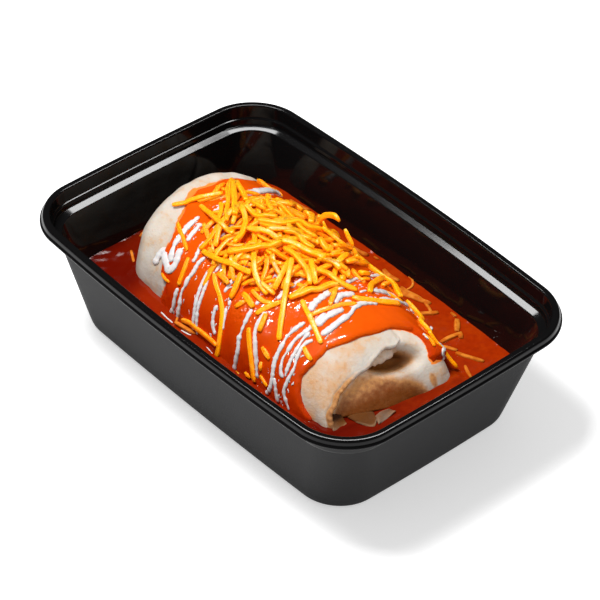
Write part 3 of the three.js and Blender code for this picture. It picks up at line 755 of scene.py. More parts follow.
edge_gap = np.linalg.norm(flap - flap[:, outer_rows + lip_rows // 2][:, None], axis=-1)
edge_run = run_along(flap[:, outer_rows])
left_side = smooth(1.9, 2.5, flap_angles)[:, None]
crease = np.sin(edge_run * 2.1 + 1.5 * np.sin(edge_run / 3))[:, None] * np.exp(-edge_gap / 2.6)
groove = np.exp(-((edge_gap - STRIPE_WIDTH) / 0.5) ** 2) * left_side
fine = 0.14 * lumps(flap, 7, 3) + 0.1 * lumps(flap, 3.2, 4) + 0.16 * crease - 0.35 * groove
flap = flap + fine[..., None] * FRONT_OUT
row = np.arange(flap_ring)
inner_side = (row > outer_rows + lip_rows - 2).astype(float)[None, :]
stripe = smooth(STRIPE_WIDTH + 0.3, STRIPE_WIDTH - 0.5, edge_gap) * (0.25 + 0.75 * left_side)
tanned = 0.27 * smooth(1.3, 2.0, flap_angles)[:, None] * smooth(0, 6, edge_gap)
flap_toast = np.clip(0.5 * stripe + 0.7 * inner_side + tanned, 0, 1)
# The flap's inner side and the groove along its edge get painted shade.
flap_piece = solid("tortilla_flap", flap.reshape(-1, 3), tube_faces(len(flap), flap_ring),
                   tortilla_material, {"toast_and_shade": flap_toast, "shaded": 0.5 * inner_side + 0.22 * groove})
lit_by(flap_piece, front_light)
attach(flap_piece, "root")

# The end of an inner layer hangs in the pocket, under the flap, as [across, height] along its edge.
FOLD_EDGE = np.array([(-9, 42.0), (-6.9, 41.3), (-4.6, 41.0), (-1.3, 40.9), (3.7, 41.3), (7.8, 42.2),
                      (10.6, 43.4), (12.5, 45)])
FOLD_REACH = 8.0
FOLD_SINK = 3.3
FOLD_HALF_THICK = 0.8
fold_share = np.linspace(0, len(FOLD_EDGE) - 1, 70)
fold_edge = smooth_through(np.arange(len(FOLD_EDGE)), FOLD_EDGE, fold_share)
fold_edge[:, 1] += 0.25 * np.sin(fold_share * 5.5)
fold_up = np.linspace(0, 1, 16)
fold_place = fold_edge[:, None] + fold_up[None, :, None] * (0.5, FOLD_REACH)
fold_angle, fold_stop = edge_station(fold_place[..., 0], fold_place[..., 1])
fold_depth = FOLD_SINK - 0.4 * fold_up[None, :] - 0.25 * np.cos(fold_share * 7)[:, None] * (1 - fold_up)
fold_round = FOLD_HALF_THICK * np.sqrt(1 - (1 - np.clip(fold_up * 6, 0, 1)) ** 2 * 0.97)
fold_points, fold_faces = shell(roll_point(fold_angle, fold_stop, -fold_depth + fold_round),
                                roll_point(fold_angle, fold_stop, -fold_depth - fold_round))
# Painted shade on the fold, deeper towards its right end and up under the flap.
fold_shade = 0.12 + 0.6 * smooth(3.6, 6.2, fold_share)[:, None] + 0.35 * smooth(0.2, 0.7, fold_up)[None, :]
inner_fold = solid("inner_fold", fold_points, fold_faces, tortilla_material,
                   {"toast_and_shade": np.full(len(fold_points), 0.3), "shaded": np.tile(fold_shade.ravel(), 2)})
lit_by(inner_fold, front_light)
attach(inner_fold, "root")

# Each lip is a leaf, by its depth of painted shade, its root line and its free edge as [x, y, height].
FOOT_LIPS = [
    (0.8, [(60.5, -34.0, 26.8), (60.3, -31.0, 26.8), (62.6, -27.6, 26.0)],
     [(66.4, -36.4, 24.6), (67.8, -33.4, 24.3), (66.9, -28.8, 24.5)]),
    (1.0, [(64.5, -26.3, 25.8), (66.0, -20.6, 25.6), (69.0, -14.8, 25.0)],
     [(69.0, -25.0, 24.5), (75.0, -20.6, 24.3), (73.0, -16.4, 24.5)]),
    (0.6, [(71.4, -16.4, 24.9), (71.0, -12.4, 25.0), (71.6, -7.6, 24.6)],
     [(75.6, -18.0, 24.2), (75.2, -13.4, 24.3), (74.2, -6.4, 24.2)]),
]
LIP_THICK = 1.3
lip_points, lip_faces, lip_shade = [], [], []
for dark, root_line, free_line in FOOT_LIPS:
    share = np.linspace(0, 1, 24)
    root, free = (smooth_through(np.linspace(0, 1, 3), line, share) for line in (root_line, free_line))
    out = np.linspace(0, 1, 14)[None, :, None]
    sheet = root[:, None] + (free - root)[:, None] * out
    sheet[..., 2] += 0.5 * np.sin(out[..., 0] * 2.5 + share[:, None] * 5) * out[..., 0]
    thin = np.sqrt(1 - np.maximum(out[..., 0], np.abs(2 * share[:, None] - 1)) ** 8 * 0.96)
    up_half = np.stack([0 * thin, 0 * thin, thin], axis=-1) * LIP_THICK / 2
    points, faces = shell(sheet + up_half, sheet - up_half)
    lip_faces.extend([[corner + len(lip_points) for corner in face] for face in faces])
    lip_points.extend(points)
    # Painted shade on the lips, deepest at the root and towards one end, and a painted lit rim at the free
    # edge.
    deep_in = smooth(1.3, 0.2, out[..., 0] + 0 * thin) + 0.6 * dark * smooth(0.3, 1, share)[:, None]
    lit_free_edge = smooth(0.8, 1.0, out[..., 0] + 0 * thin)
    shade = np.clip((0.85 * dark + 0.3 * deep_in) * (1 - 0.55 * lit_free_edge), 0, 1)
    lip_shade.extend(np.tile(shade.ravel(), 2))
lips = solid("foot_lips", lip_points, lip_faces, tortilla_material,
             {"toast_and_shade": np.full(len(lip_points), 0.28), "shaded": lip_shade})
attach(lips, "root")

# ---------------------------------------------------------------- red sauce
# Thick red chilli sauce fills the tray up to its level and lies as a glossy coat over the roll. Both
# ends of the tortilla stay bare, and the coat thins out into an orange smear at the back.
COAT_OUTER = 1.85
COAT_EDGE = 4.2
COAT_SKIRT = -2.5
COAT_UNDER_SLOPE = 3.2
FAR_SHOULDER_SWELL = 0.9
DEEPEST_UNDER = -24.0
COAT_FRONT = np.array([  # angle round the roll in degrees, and x where the coat stops there
    (-14, 63), (0, 64), (14, 66), (19, 69), (23, 70.2), (26, 70.4), (30, 70.0), (35, 68.0),
    (38, 65.0), (41, 60.6), (46, 55.4), (58, 52.9), (83, 51), (93, 49), (104, 46.9), (117, 45.2),
    (134, 44.2), (149, 44.9), (158, 47.5), (168, 51.9), (173, 56.6), (194, 60),
])
COAT_BACK = np.array([
    (-14, -72), (30, -73), (54, -75), (70, -77), (84, -76), (90, -78), (97, -74.7), (104, -71.7),
    (110, -69), (117, -66.2), (127, -62.3), (136, -61.5), (154, -54.6), (157, -50.7), (164, -49.2),
    (175, -51), (194, -50),
])
SAUCE_RED = (0.50, 0.022, 0.0005)
OILY_ORANGE = (0.90, 0.27, 0.010)
SAUCE_ORANGE = (0.78, 0.098, 0.001)
POOL_IN_SHADE = (0.13, 0.004, 0.0006)
POOL_LIT = (0.40, 0.027, 0.0008)
POOL_OIL_AND_SHEEN = (0.62, 0.11, 0.004)
POOL_STEP = 0.72
POOL_OVERLAP = 0.3
POOL_FLOOR_GAP = 0.35
POOL_CLIMB = {"roll": 0.9, "wall": 0.12}
ROOT_LEVEL = 5.6
FLOOR_LEVEL = 1.35


def coat_inside(points, angle):
    """Rough distance inside the coat's edges, along the roll."""
    degrees = np.mod(np.degrees(angle) + 90, 360) - 90
    front_stop = np.interp(degrees, COAT_FRONT[:, 0], COAT_FRONT[:, 1])
    back_stop = np.interp(degrees, COAT_BACK[:, 0], COAT_BACK[:, 1])
    inside = np.minimum(front_stop - points[..., 0], points[..., 0] - back_stop)
    return inside + 0.45 * lumps(points, 5, 21) + 0.25 * lumps(points, 2.2, 22)


def coat_thickness(points, angle):
    inside = coat_inside(points, angle)
    round_edge = COAT_OUTER * (1 - (1 - np.clip(inside / COAT_EDGE, 0, 1)) ** 2) ** 0.7
    ripple = 0.1 * lumps(points, 9, 23) + 0.07 * lumps(points, 3.0, 24)
    drips = lumps(points * (1, 0.25, 0.25), 6, 26) * smooth(100, 125, np.degrees(angle))
    swell = FAR_SHOULDER_SWELL * np.exp(-((np.degrees(angle) - 27) / 13) ** 2)
    swell = swell * smooth(50, 62, points[..., 0])
    covered = round_edge + (ripple + 0.28 * drips + swell) * smooth(0, 3, inside)
    return np.where(inside > 0, covered, np.maximum(COAT_UNDER_SLOPE * inside, DEEPEST_UNDER))


coat_angles = np.radians(np.linspace(-14, 194, 214))
coat_stations = [np.linspace(0.93, 1, 6)[:-1], np.linspace(1, 2, 200), np.linspace(2, 2.36, 24)[1:]]
coat_stations = np.concatenate(coat_stations)
grown = roll_point(coat_angles[None, :], coat_stations[:, None], COAT_OUTER)
thickness = coat_thickness(grown, coat_angles[None, :])
coat_top = roll_point(coat_angles[None, :], coat_stations[:, None], thickness)
coat_under = roll_point(coat_angles[None, :], coat_stations[:, None], np.minimum(thickness, 0) + COAT_SKIRT)

sauce_finish = Finish("red_chilli_sauce")
swirl = sauce_finish.grain(13, 1.0)
bits = sauce_finish.grain(2.6, 1.0)
pulp = sauce_finish.grain(1.3, 1.0)
pooled = sauce_finish.mark("pooled")
stirred = sauce_finish.mark("stirred")
oily = sauce_finish.mark("oily")
far_side = sauce_finish.node("ShaderNodeSeparateXYZ", {}, {0: sauce_finish.place}, 1).rising(-45, 72)
high_up = sauce_finish.node("ShaderNodeSeparateXYZ", {}, {0: sauce_finish.place}, 2).rising(32, 56)
sauce_colour = sauce_finish.mix(high_up * 0.75 + 0.5 * swirl - 0.2 + 0.2 * bits, SAUCE_RED, SAUCE_ORANGE)
sauce_colour = sauce_finish.mix(oily * 0.9, sauce_colour, OILY_ORANGE)
# The pool is painted lighter towards the far side and darker on the near side: painted light and shade.
pool_colour = sauce_finish.mix(far_side * (0.7 + 0.6 * bits), POOL_IN_SHADE, POOL_LIT)
# Orange patches on the far side are oil on the sauce and in part a painted sheen.
oil_and_sheen = far_side * (0.75 * swirl + 0.25 * bits).rising(0.48, 0.7) * 0.14
pool_colour = sauce_finish.mix(oil_and_sheen, pool_colour, POOL_OIL_AND_SHEEN)
sauce_relief = (bits + 0.3 * pulp) * (0.07 + 1.1 * stirred) + 0.6 * swirl * (1 - pooled)
sauce_material = sauce_finish.paint({
    "Base Color": sauce_finish.mix(pooled, sauce_colour, pool_colour),
    "Roughness": 0.07 + 0.07 * swirl,
    "Specular IOR Level": 0.4,
    "Normal": sauce_finish.bump(sauce_relief, 0.8),
})
coat_points, coat_faces = shell(coat_top, coat_under)
coat_degrees = np.degrees(coat_angles)[None, :]
crest_share = smooth(84, 100, coat_degrees) * smooth(158, 128, coat_degrees)
churned = crest_share * smooth(1.92, 1.72, coat_stations)[:, None]
churned = churned * smooth(-0.5, 0.5, lumps(grown, 11, 25) + 0.35)
near_edge = smooth(2.6, 0.6, coat_inside(grown, coat_angles[None, :]) + 0.8 * lumps(grown, 4, 28))
back_crest = (grown[..., 0] < 0) * np.exp(-((coat_degrees - 88) / 24) ** 2)
coat = solid("red_coat", coat_points, coat_faces, sauce_material, {
    "pooled": np.zeros(len(coat_points)),
    "stirred": np.tile(churned.ravel(), 2),
    "oily": np.tile((near_edge * back_crest).ravel(), 2),
})
lit_by(coat, side_light, shoulder_light, high_sparkle, low_sparkle)
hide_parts("sauce_coat")
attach(coat, "root")

skin_inside = coat_inside(roll_point(angles[None, :], stations[:, None], COAT_OUTER), angles[None, :])
on_crest = np.exp(-((np.degrees(angles)[None, :] - 92) / 20) ** 2) * (skin[..., 0] < 0)
ragged = 1.3 * lumps(skin, 5, 27)
smear_share = smooth(-0.6 - 4.0 * on_crest, -0.3 - 1.8 * on_crest, skin_inside + ragged * on_crest)
add_mark(roll.data, "smeared", smear_share)


def inner_wall(height):
    """The level of the tray's inner wall at that height."""
    low = tray_level(BASE, -4.6)
    high = tray_level(RIM, LEDGE_INSET)
    return low + (high - low) * (height - ROOT_LEVEL) / (TRAY_HEIGHT - LEDGE_DEPTH - ROOT_LEVEL)


into_wall = (POOL_OVERLAP, POOL_OVERLAP, POOL_OVERLAP, 0, 0)
pool_length, pool_width, pool_radius, pool_end_bow, pool_side_bow = inner_wall(SAUCE_LEVEL) + into_wall
corner_x = pool_length - pool_radius
corner_turn = np.linspace(0, math.pi / 2, 22)
straight_rows = np.linspace(-corner_x, corner_x, int(2 * corner_x / POOL_STEP))
pool_x = np.concatenate([-corner_x - pool_radius * np.sin(corner_turn[:0:-1]), straight_rows,
                         corner_x + pool_radius * np.sin(corner_turn[1:])])
over = np.clip(np.abs(pool_x) - corner_x, 0, pool_radius)
half_rows = pool_width - pool_radius + np.sqrt(np.maximum(pool_radius**2 - over**2, 0))
half_rows = half_rows + pool_side_bow * (1 - (pool_x / pool_length) ** 2)
pool_share = np.linspace(-1, 1, int(2 * pool_width / POOL_STEP))
pool_y = half_rows[:, None] * pool_share[None, :]
bow = pool_end_bow * (1 - np.clip(pool_y / pool_width, -1, 1) ** 2) * (pool_x / pool_length)[:, None]
pool_plan = np.stack([pool_x[:, None] + bow, pool_y], axis=-1)


def roll_gap(plan):
    """Distance in plan from the roll's outline at the sauce's level, negative inside it."""
    x, y = plan[..., 0], plan[..., 1]
    share = np.clip((x - ROLL_START) / ROLL_LENGTH, 0, 1)
    middle, half_width, _, _ = section(share, COAT_OUTER)
    beside = np.abs(y - middle) - half_width
    beyond = np.maximum(back_face(y, 0) - x, x - front_face(y, SAUCE_LEVEL, 0))
    return np.maximum(beside, beyond)


gap = roll_gap(pool_plan)
wall_gap = np.minimum((1 - np.abs(pool_share))[None, :] * half_rows[:, None],
                      pool_length - np.abs(pool_x)[:, None])
pool_height = SAUCE_LEVEL + POOL_CLIMB["roll"] * np.exp(-np.maximum(gap, 0) / 1.2)
pool_height = pool_height + POOL_CLIMB["wall"] * np.exp(-wall_gap / 1.1)
pool_height = pool_height + 0.13 * lumps(pool_plan, 8, 31) + 0.09 * lumps(pool_plan, 3.2, 32)
pool_top = np.concatenate([pool_plan, pool_height[..., None]], axis=-1)
shrink = (inner_wall(ROOT_LEVEL)[:2] - POOL_FLOOR_GAP) / (pool_length, pool_width)
pool_under = np.concatenate([pool_plan * shrink, np.full_like(pool_height, ROOT_LEVEL)[..., None]], axis=-1)
floor_fall = smooth(0, 0.06, 1 - np.abs(pool_share))[None, :]
floor_fall = floor_fall * smooth(0, 6, pool_length - np.abs(pool_x))[:, None]
pool_under[..., 2] = ROOT_LEVEL + (FLOOR_LEVEL - ROOT_LEVEL) * floor_fall
pool_points, pool_faces = shell(pool_top, pool_under)
beside_flank = smooth(10, 3, gap) * (pool_plan[..., 1] < 0) * smooth(66, 50, np.abs(pool_plan[..., 0] + 5))
pool = solid("red_pool", pool_points, pool_faces, sauce_material,
             {"pooled": np.tile(1 - 0.4 * beside_flank.ravel(), 2)})
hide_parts("sauce_pool")
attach(pool, "root")

# ---------------------------------------------------------------- drizzled cream
# Thin sour cream squeezed to and fro across the roll. The strands run from the far side over the
# crest and down the near flank, uneven in width, and the first ones pile up in a thick squiggle.
CREAM_WHITE = (0.68, 0.69, 0.70)
CREAM_BLUSH = (0.74, 0.68, 0.66)
camera_eye = np.array(CAMERA_TARGET + back * CAMERA_DISTANCE) / MM
view_right, view_up, view_back = np.array(right), np.array(up), np.array(back)
PIXELS_AHEAD = CAMERA_LENS / SENSOR_WIDTH * PICTURE_WIDTH


def pictured(points):
    """Where places show in the camera's picture, in pixels from its upper left corner."""
    offset = points - camera_eye
    scale = PIXELS_AHEAD / -(offset @ view_back)
    return PICTURE_WIDTH / 2 + np.stack([offset @ view_right * scale, -(offset @ view_up) * scale], axis=-1)


def on_roll(share, angle, grow):
    """A point on the grown roll by its share of the length and angle, and the way out of it there."""
    here = roll_point(angle, 1 + share, grow)
    along = roll_point(angle, 1.01 + share, grow) - roll_point(angle, 0.99 + share, grow)
    around = roll_point(angle + 0.02, 1 + share, grow) - roll_point(angle - 0.02, 1 + share, grow)
    return here, unit(np.cross(around, along))


search_share, search_angle = np.meshgrid(np.arange(-0.2, 1.3, 0.02), np.radians(np.arange(-10, 198, 3)))
search_points, search_out = on_roll(search_share, search_angle, COAT_OUTER)
search_turned = search_out @ view_back < 0.03
search_steps = np.stack(np.meshgrid(np.linspace(-1, 1, 7), np.linspace(-1, 1, 7)), axis=-1).reshape(-1, 2)


def place_seen(spots, grow):
    """[share, angle] of the places on the grown roll that show at those pixels."""
    spots = np.asarray(spots, float)
    off = np.linalg.norm(pictured(search_points) - spots[:, None, None], axis=-1) + 1e6 * search_turned
    nearest = off.reshape(len(spots), -1).argmin(axis=1)
    best = np.column_stack([search_share.ravel()[nearest], search_angle.ravel()[nearest]])
    reach = np.array([0.03, 0.08])
    grow = np.broadcast_to(grow, len(spots))[:, None]
    for _ in range(6):
        tried = best[:, None] + search_steps * reach
        shown = pictured(roll_point(tried[..., 1], 1 + tried[..., 0], grow))
        nearest = np.linalg.norm(shown - spots[:, None], axis=-1).argmin(axis=1)
        best = tried[np.arange(len(spots)), nearest]
        reach = reach * 0.4
    return best


def plane_seen(spots, axis, distance):
    """Places that show at those pixels on the plane square to that axis."""
    spots = (np.asarray(spots, float) - PICTURE_WIDTH / 2) / PIXELS_AHEAD
    lines = spots[:, :1] * view_right - spots[:, 1:] * view_up - view_back
    return camera_eye + lines * ((distance - camera_eye[axis]) / lines[:, axis])[:, None]


def curve_through(keys, step):
    """A smooth curve through points, with a point at about every step."""
    run = run_along(keys)
    return smooth_through(run, keys, np.linspace(0, run[-1], max(int(run[-1] / step), 3)))


def bar(path, above, widths, heights, sides=8, square=1.0):
    """A closed bar along a path, with the way up at each point: points and faces."""
    along = unit(np.gradient(path, axis=0))
    aside = unit(np.cross(above, along))
    lifted = np.cross(along, aside)
    turn = (np.arange(sides) + 0.5) / sides * 2 * math.pi
    spread = np.sign(np.cos(turn)) * np.abs(np.cos(turn)) ** square
    height = np.sign(np.sin(turn)) * np.abs(np.sin(turn)) ** square
    points = (path[:, None] + aside[:, None] * (spread[None, :] * widths[:, None] / 2)[..., None]
              + lifted[:, None] * (height[None, :] * heights[:, None] / 2)[..., None])
    return points.reshape(-1, 3), tube_faces(len(path), sides)


class Heap:
    """Many small closed pieces gathered into one mesh."""

    def __init__(self):
        self.points, self.faces, self.tones, self.count = [], [], [], 0

    def add(self, points, faces, tone=0.0):
        self.points.append(points)
        self.faces.extend([[corner + self.count for corner in face] for face in faces])
        self.tones.append(np.full(len(points), tone))
        self.count += len(points)

    def made(self, name, finish):
        marks = {"tone": np.concatenate(self.tones)}
        return solid(name, np.concatenate(self.points), self.faces, finish, marks)


# Strands by their width in millimetres and the pixels that they pass through in the main view.
STRAND_PIXELS = [
    (3.3, [(154, 265), (157, 258), (162, 250), (164, 254), (165.5, 262), (168.5, 270), (173, 267),
           (181, 248)]),
    (3.0, [(170.5, 262), (171.5, 252), (175, 243), (180, 236), (186, 228), (192, 222), (199, 216)]),
    (2.3, [(187, 241), (190, 236), (195, 230), (201, 223)]),
    (1.9, [(211.5, 233), (215, 231), (219, 228.5)]),
    (1.4, [(214, 241), (219, 237), (225, 233)]),
    (1.7, [(213, 210), (217, 209), (222, 204), (226, 200.5)]),
    (4.4, [(245, 194), (252, 192), (262, 190.5), (270, 190), (276, 191.5), (281, 194)]),
    (2.4, [(261, 198.5), (267, 199), (273, 200.5), (281, 203)]),
    (1.9, [(228, 226), (234, 225), (241, 222.5)]),
    (1.7, [(207, 242), (201, 245), (198, 251), (195, 258), (192, 262)]),
    (2.0, [(205, 257), (199, 262), (193, 272), (187, 280), (185, 285), (182, 290), (179, 305),
           (177, 318)]),
    (1.9, [(177.5, 288), (174, 300), (173, 306), (167, 320)]),
    (1.8, [(209, 270), (202, 283), (197, 297), (194, 312), (193, 330)]),
    (1.7, [(208, 279), (203, 292), (198, 307), (197, 335)]),
    (1.4, [(222, 263.5), (215, 272)]),
    (1.7, [(236, 275), (230, 283), (224, 292.5)]),
    (1.8, [(217, 305), (214, 312), (213, 328), (215, 335)]),
    (1.4, [(226, 308), (224.5, 318), (222.5, 330)]),
    (1.7, [(229.5, 300), (229, 306)]),
    (2.1, [(252, 309), (248, 316), (241, 332), (238.5, 340), (238, 348), (236, 358), (234, 370)]),
    (1.7, [(243, 267), (249, 265)]),
    (2.1, [(266, 312), (261, 318), (257.5, 324), (255, 331), (255, 345), (256.5, 370), (257, 378)]),
    (1.2, [(269, 285), (274, 279)]),
    (1.8, [(284, 290), (281, 295), (277, 299)]),
    (2.3, [(255, 304), (259, 302)]),
    (2.2, [(306, 276), (300, 280), (296, 283), (291, 287)]),
    (2.1, [(305, 322), (295, 329), (286, 338), (282, 345), (275, 360), (272, 378), (270, 388), (266, 394)]),
    (1.7, [(274, 378), (275, 386), (276, 394), (278, 403)]),
    (1.7, [(305, 332), (294, 341), (287, 352), (283, 358), (281, 366), (281, 374), (283, 378)]),
    (1.7, [(310, 332), (304, 338), (295, 352), (289, 364), (285, 377)]),
    (1.7, [(313, 340), (306, 343), (298, 355), (294, 368), (287, 382), (284, 395), (286, 402), (289, 411)]),
    (3.2, [(310, 311), (313, 305), (318, 300), (322, 297), (331, 291)]),
    (3.2, [(334, 303), (341, 295), (348, 294), (355, 293.5)]),
    (2.8, [(345, 303), (352, 301)]),
    (3.0, [(321, 335), (330, 329), (340, 321), (350, 314), (356, 306), (362, 303), (370, 302), (378, 303)]),
    (3.0, [(317, 326), (325, 318), (333, 313), (344, 309)]),
    (2.3, [(303, 334), (310, 328), (318, 320), (326, 313)]),
    (3.0, [(373, 290), (380, 291), (388, 293), (394, 296), (400, 301)]),
    (2.3, [(380, 299.5), (390, 299), (398, 301), (408, 305)]),
    (1.9, [(360, 292), (367, 290)]),
    (2.2, [(371, 276), (385, 275)]),
    (1.9, [(346, 283), (358, 278)]),
    (1.7, [(337, 289), (345, 287)]),
    (2.8, [(391, 284), (393.5, 284)]),
    (1.7, [(424, 333), (430, 338), (436, 342.5), (441, 347), (444, 354), (446, 360)]),
    (1.2, [(411, 310), (415, 313)]),
]
# A blob of cream on the pool and thin white threads along the near wall, in the same way. The threads are
# painted highlights on the pool's edge.
POOL_CREAM_AND_GLINT_PIXELS = [
    (3.4, [(429.5, 328.5), (433, 328)]),
    (0.7, [(161, 312), (167, 318), (173, 323)]),
    (0.7, [(181, 330), (188, 334), (196, 337), (203, 343), (213, 354)]),
    (0.7, [(221, 360), (226, 363), (230, 366)]),
]
STRAND_STEP = 0.5
STRAND_LEAST_THICK = 0.35
STRAND_THICKNESS = 0.35
STRAND_LIFT = 0.1
STRAND_MIDDLE = 0.3
POOL_THREAD_LIFT = 0.2
POOL_THREAD_THICKNESS = 0.5
STRAND_SPREAD = 1.1
UPRIGHT = (0.0, 0.0, 1.0)
CREAM_AND_GLINT_SPECKS = 360
SPECK_STRAY = (0.016, 0.07)
SPECK_RAGGED = (0.0012, 0.004)
random = np.random.default_rng(5)


def add_strand(heap, path, out, width, thick):
    """One strand of cream or of painted highlight, swelling and thinning along its way, with round ends."""
    run = run_along(path)
    ends = np.sqrt(1 - (1 - np.clip(np.minimum(run, run[-1] - run) / (0.6 * width), 0.02, 1)) ** 2)
    seed = random.integers(1000)
    uneven = 0.14 * min(1.0, 2.2 / width)
    swell = 1 + uneven * (lumps(run[:, None], 3.0, seed) + lumps(run[:, None], 1.2, seed + 1))
    thin = np.clip(1.2 + 0.6 * lumps(run[:, None], 9.0, seed + 2), 0.6, 1)
    scale = np.clip(swell, 0.6, 1.4) * ends * thin
    heap.add(*bar(path, out, STRAND_SPREAD * width * scale, thick * scale + 0.1, 10, 0.9))


def coat_at(share, angle):
    """Thickness of the coat at a place on the roll, and 0 where the roll is bare."""
    return np.maximum(coat_thickness(roll_point(angle, 1 + share, COAT_OUTER), angle), 0)


cream = Heap()
strand_places = []
for width, spots in STRAND_PIXELS:
    base = COAT_OUTER
    for _ in range(2):
        keys = place_seen(spots, base + STRAND_MIDDLE)
        base = coat_at(keys[:, 0], keys[:, 1])
    place = curve_through(keys * UNROLL, STRAND_STEP) / UNROLL
    path, out = on_roll(place[:, 0], place[:, 1], coat_at(place[:, 0], place[:, 1]) + STRAND_LIFT)
    add_strand(cream, path, out, width, STRAND_LEAST_THICK + STRAND_THICKNESS * width)
    strand_places.append(place)
# Thin white threads on the pool near the wall: painted highlights.
for width, spots in POOL_CREAM_AND_GLINT_PIXELS:
    path = curve_through(plane_seen(spots, 2, SAUCE_LEVEL + POOL_THREAD_LIFT), STRAND_STEP)
    add_strand(cream, path, np.tile(UPRIGHT, (len(path), 1)), width, POOL_THREAD_THICKNESS * width)
# White specks round the strands: spatters of cream that also stand in for painted glints on the wet sauce.
for _ in range(CREAM_AND_GLINT_SPECKS):
    strand = strand_places[random.integers(len(strand_places))]
    middle = strand[random.integers(len(strand))] + random.normal(size=2) * SPECK_STRAY
    reach = random.uniform(0.2, 1.3) * np.array([random.normal(0, 0.6), 1]) / UNROLL
    place = middle + np.linspace(-1, 1, 6)[:, None] * reach + random.normal(size=(6, 2)) * SPECK_RAGGED
    path, out = on_roll(place[:, 0], place[:, 1], COAT_OUTER)
    if coat_inside(path, place[:, 1]).min() < 1:
        continue
    size = random.uniform(0.4, 1.2) * random.uniform(0.5, 1.0, 6)
    size = size * np.sqrt(1.05 - np.linspace(-1, 1, 6) ** 2)
    cream.add(*bar(path, out, size, 0.5 * size, 6))

cream_finish = Finish("sour_cream")
cream_material = cream_finish.paint({
    "Base Color": cream_finish.mix(cream_finish.grain(5), CREAM_WHITE, CREAM_BLUSH),
    "Roughness": 0.25 + 0.1 * cream_finish.grain(3),
    "Specular IOR Level": 0.45,
    "Subsurface Weight": 0.15,
    "Subsurface Radius": (1.0, 0.6, 0.4),
    "Subsurface Scale": 0.001,
    "Normal": cream_finish.bump(cream_finish.grain(1.8), 0.1),
})
# The cream mesh also holds the painted highlight threads on the pool and the specks that are in part
# painted glints.
drizzle = cream.made("cream_drizzle", cream_material)
lit_by(drizzle, side_light, high_sparkle)
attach(drizzle, "root")

# ---------------------------------------------------------------- grated cheese
# Long grated shreds of orange cheddar lie on each other along the crest, with strays on the coat and a
# few sauced ones half sunk in the pool. Short ones fill the heap from below, before the long top ones.
CELL = 0.5
PILE_MARGIN = 16.0
PILE_LIMIT = 4.4
HEAP_TOP = 61.9
FAR_PILE = 0.8
BRIDGED = 1.3
HEAP_MIDDLE = np.array([0.47, math.radians(82)]) * UNROLL
HEAP_HALF = np.array([0.33 * ROLL_LENGTH, math.radians(45) * ROLL_RADIUS])
CHEESE_YELLOW = (0.98, 0.30, 0.002)
CHEESE_ORANGE = (0.92, 0.22, 0.002)
CHEESE_PALE = (0.98, 0.41, 0.06)
SAUCED_ORANGE = (0.60, 0.13, 0.007)
SAUCED_PALE = (0.80, 0.25, 0.025)
SHRED_STEP = 1.2
SHRED_FLATNESS = 0.66

pile = np.zeros((460, 340))


def cells(flat):
    """Cells of the pile under places on the unrolled coat."""
    spots = np.round((flat + PILE_MARGIN) / CELL).astype(int)
    return np.clip(spots[..., 0], 0, pile.shape[0] - 1), np.clip(spots[..., 1], 0, pile.shape[1] - 1)


def resting(flat, width, sink):
    """How high a shred on the unrolled coat lies above the sauce, and the lanes under it."""
    aside = unit(np.gradient(flat, axis=0)[:, ::-1] * (-1, 1))
    lanes = [flat + aside * width * offset for offset in (-0.4, 0, 0.4)]
    bed = np.max([pile[cells(lane)] for lane in lanes], axis=0) - sink
    level = bed
    for _ in range(7):
        padded = np.pad(level, 2, mode="edge")
        level = np.maximum(bed, (padded[:-4] + padded[1:-3] + padded[2:-2] + padded[3:-1] + padded[4:]) / 5)
    heap_place = (flat - HEAP_MIDDLE) / HEAP_HALF
    limit = PILE_LIMIT * (1 + FAR_PILE * smooth(78, 50, np.degrees(flat[:, 1] / ROLL_RADIUS)))
    return np.minimum(level, limit * np.clip(1.3 - (heap_place**2).sum(axis=1), 0.3, 1)), lanes


def sauce_under(share, angle):
    """Thickness of the coat there. A shred that runs on past the coat keeps its height."""
    return np.maximum(coat_at(share, angle), BRIDGED)


def add_shred(heap, flat, width, tone, sink):
    """Lays one shred on what is there already."""
    thick = SHRED_FLATNESS * width
    level, lanes = resting(flat, width, sink)
    for lane in lanes:
        np.maximum.at(pile, cells(lane), level + thick)
        np.maximum.at(pile, cells((lane[1:] + lane[:-1]) / 2), (level[1:] + level[:-1]) / 2 + thick)
    share, angle = (flat / UNROLL).T
    line, out = on_roll(share, angle, sauce_under(share, angle) + level + thick / 2)
    line[:, 2] = np.minimum(line[:, 2], HEAP_TOP)
    add_bar(heap, line, out, width, thick, tone)


def add_bar(heap, line, out, width, thick, tone):
    """A shred along that line: a rounded square bar with blunt ends, leaning a little."""
    count = len(line)
    lean = (random.uniform(-0.3, 0.3) + np.linspace(0, random.uniform(-0.4, 0.4), count))[:, None]
    along = unit(np.gradient(line, axis=0))
    above = out * np.cos(lean) + np.cross(along, out) * np.sin(lean)
    taper = np.ones(count)
    taper[0] = taper[-1] = random.uniform(0.55, 0.8)
    taper[1] = taper[-2] = 0.94
    uneven = 1 + 0.06 * lumps(np.arange(count)[:, None] * SHRED_STEP, 5, random.integers(1000))
    heap.add(*bar(line, above, 0.94 * width * taper * uneven, thick * taper, 12, 0.4), tone)


def shred_path(middle, heading, length, bend):
    """A bent line on the flat, through that middle."""
    run = np.arange(0, length + SHRED_STEP, SHRED_STEP)
    turn = heading + bend * (run / length - 0.5)
    line = np.cumsum(np.column_stack([np.cos(turn), np.sin(turn)]) * SHRED_STEP, axis=0)
    return line - line.mean(axis=0) + middle


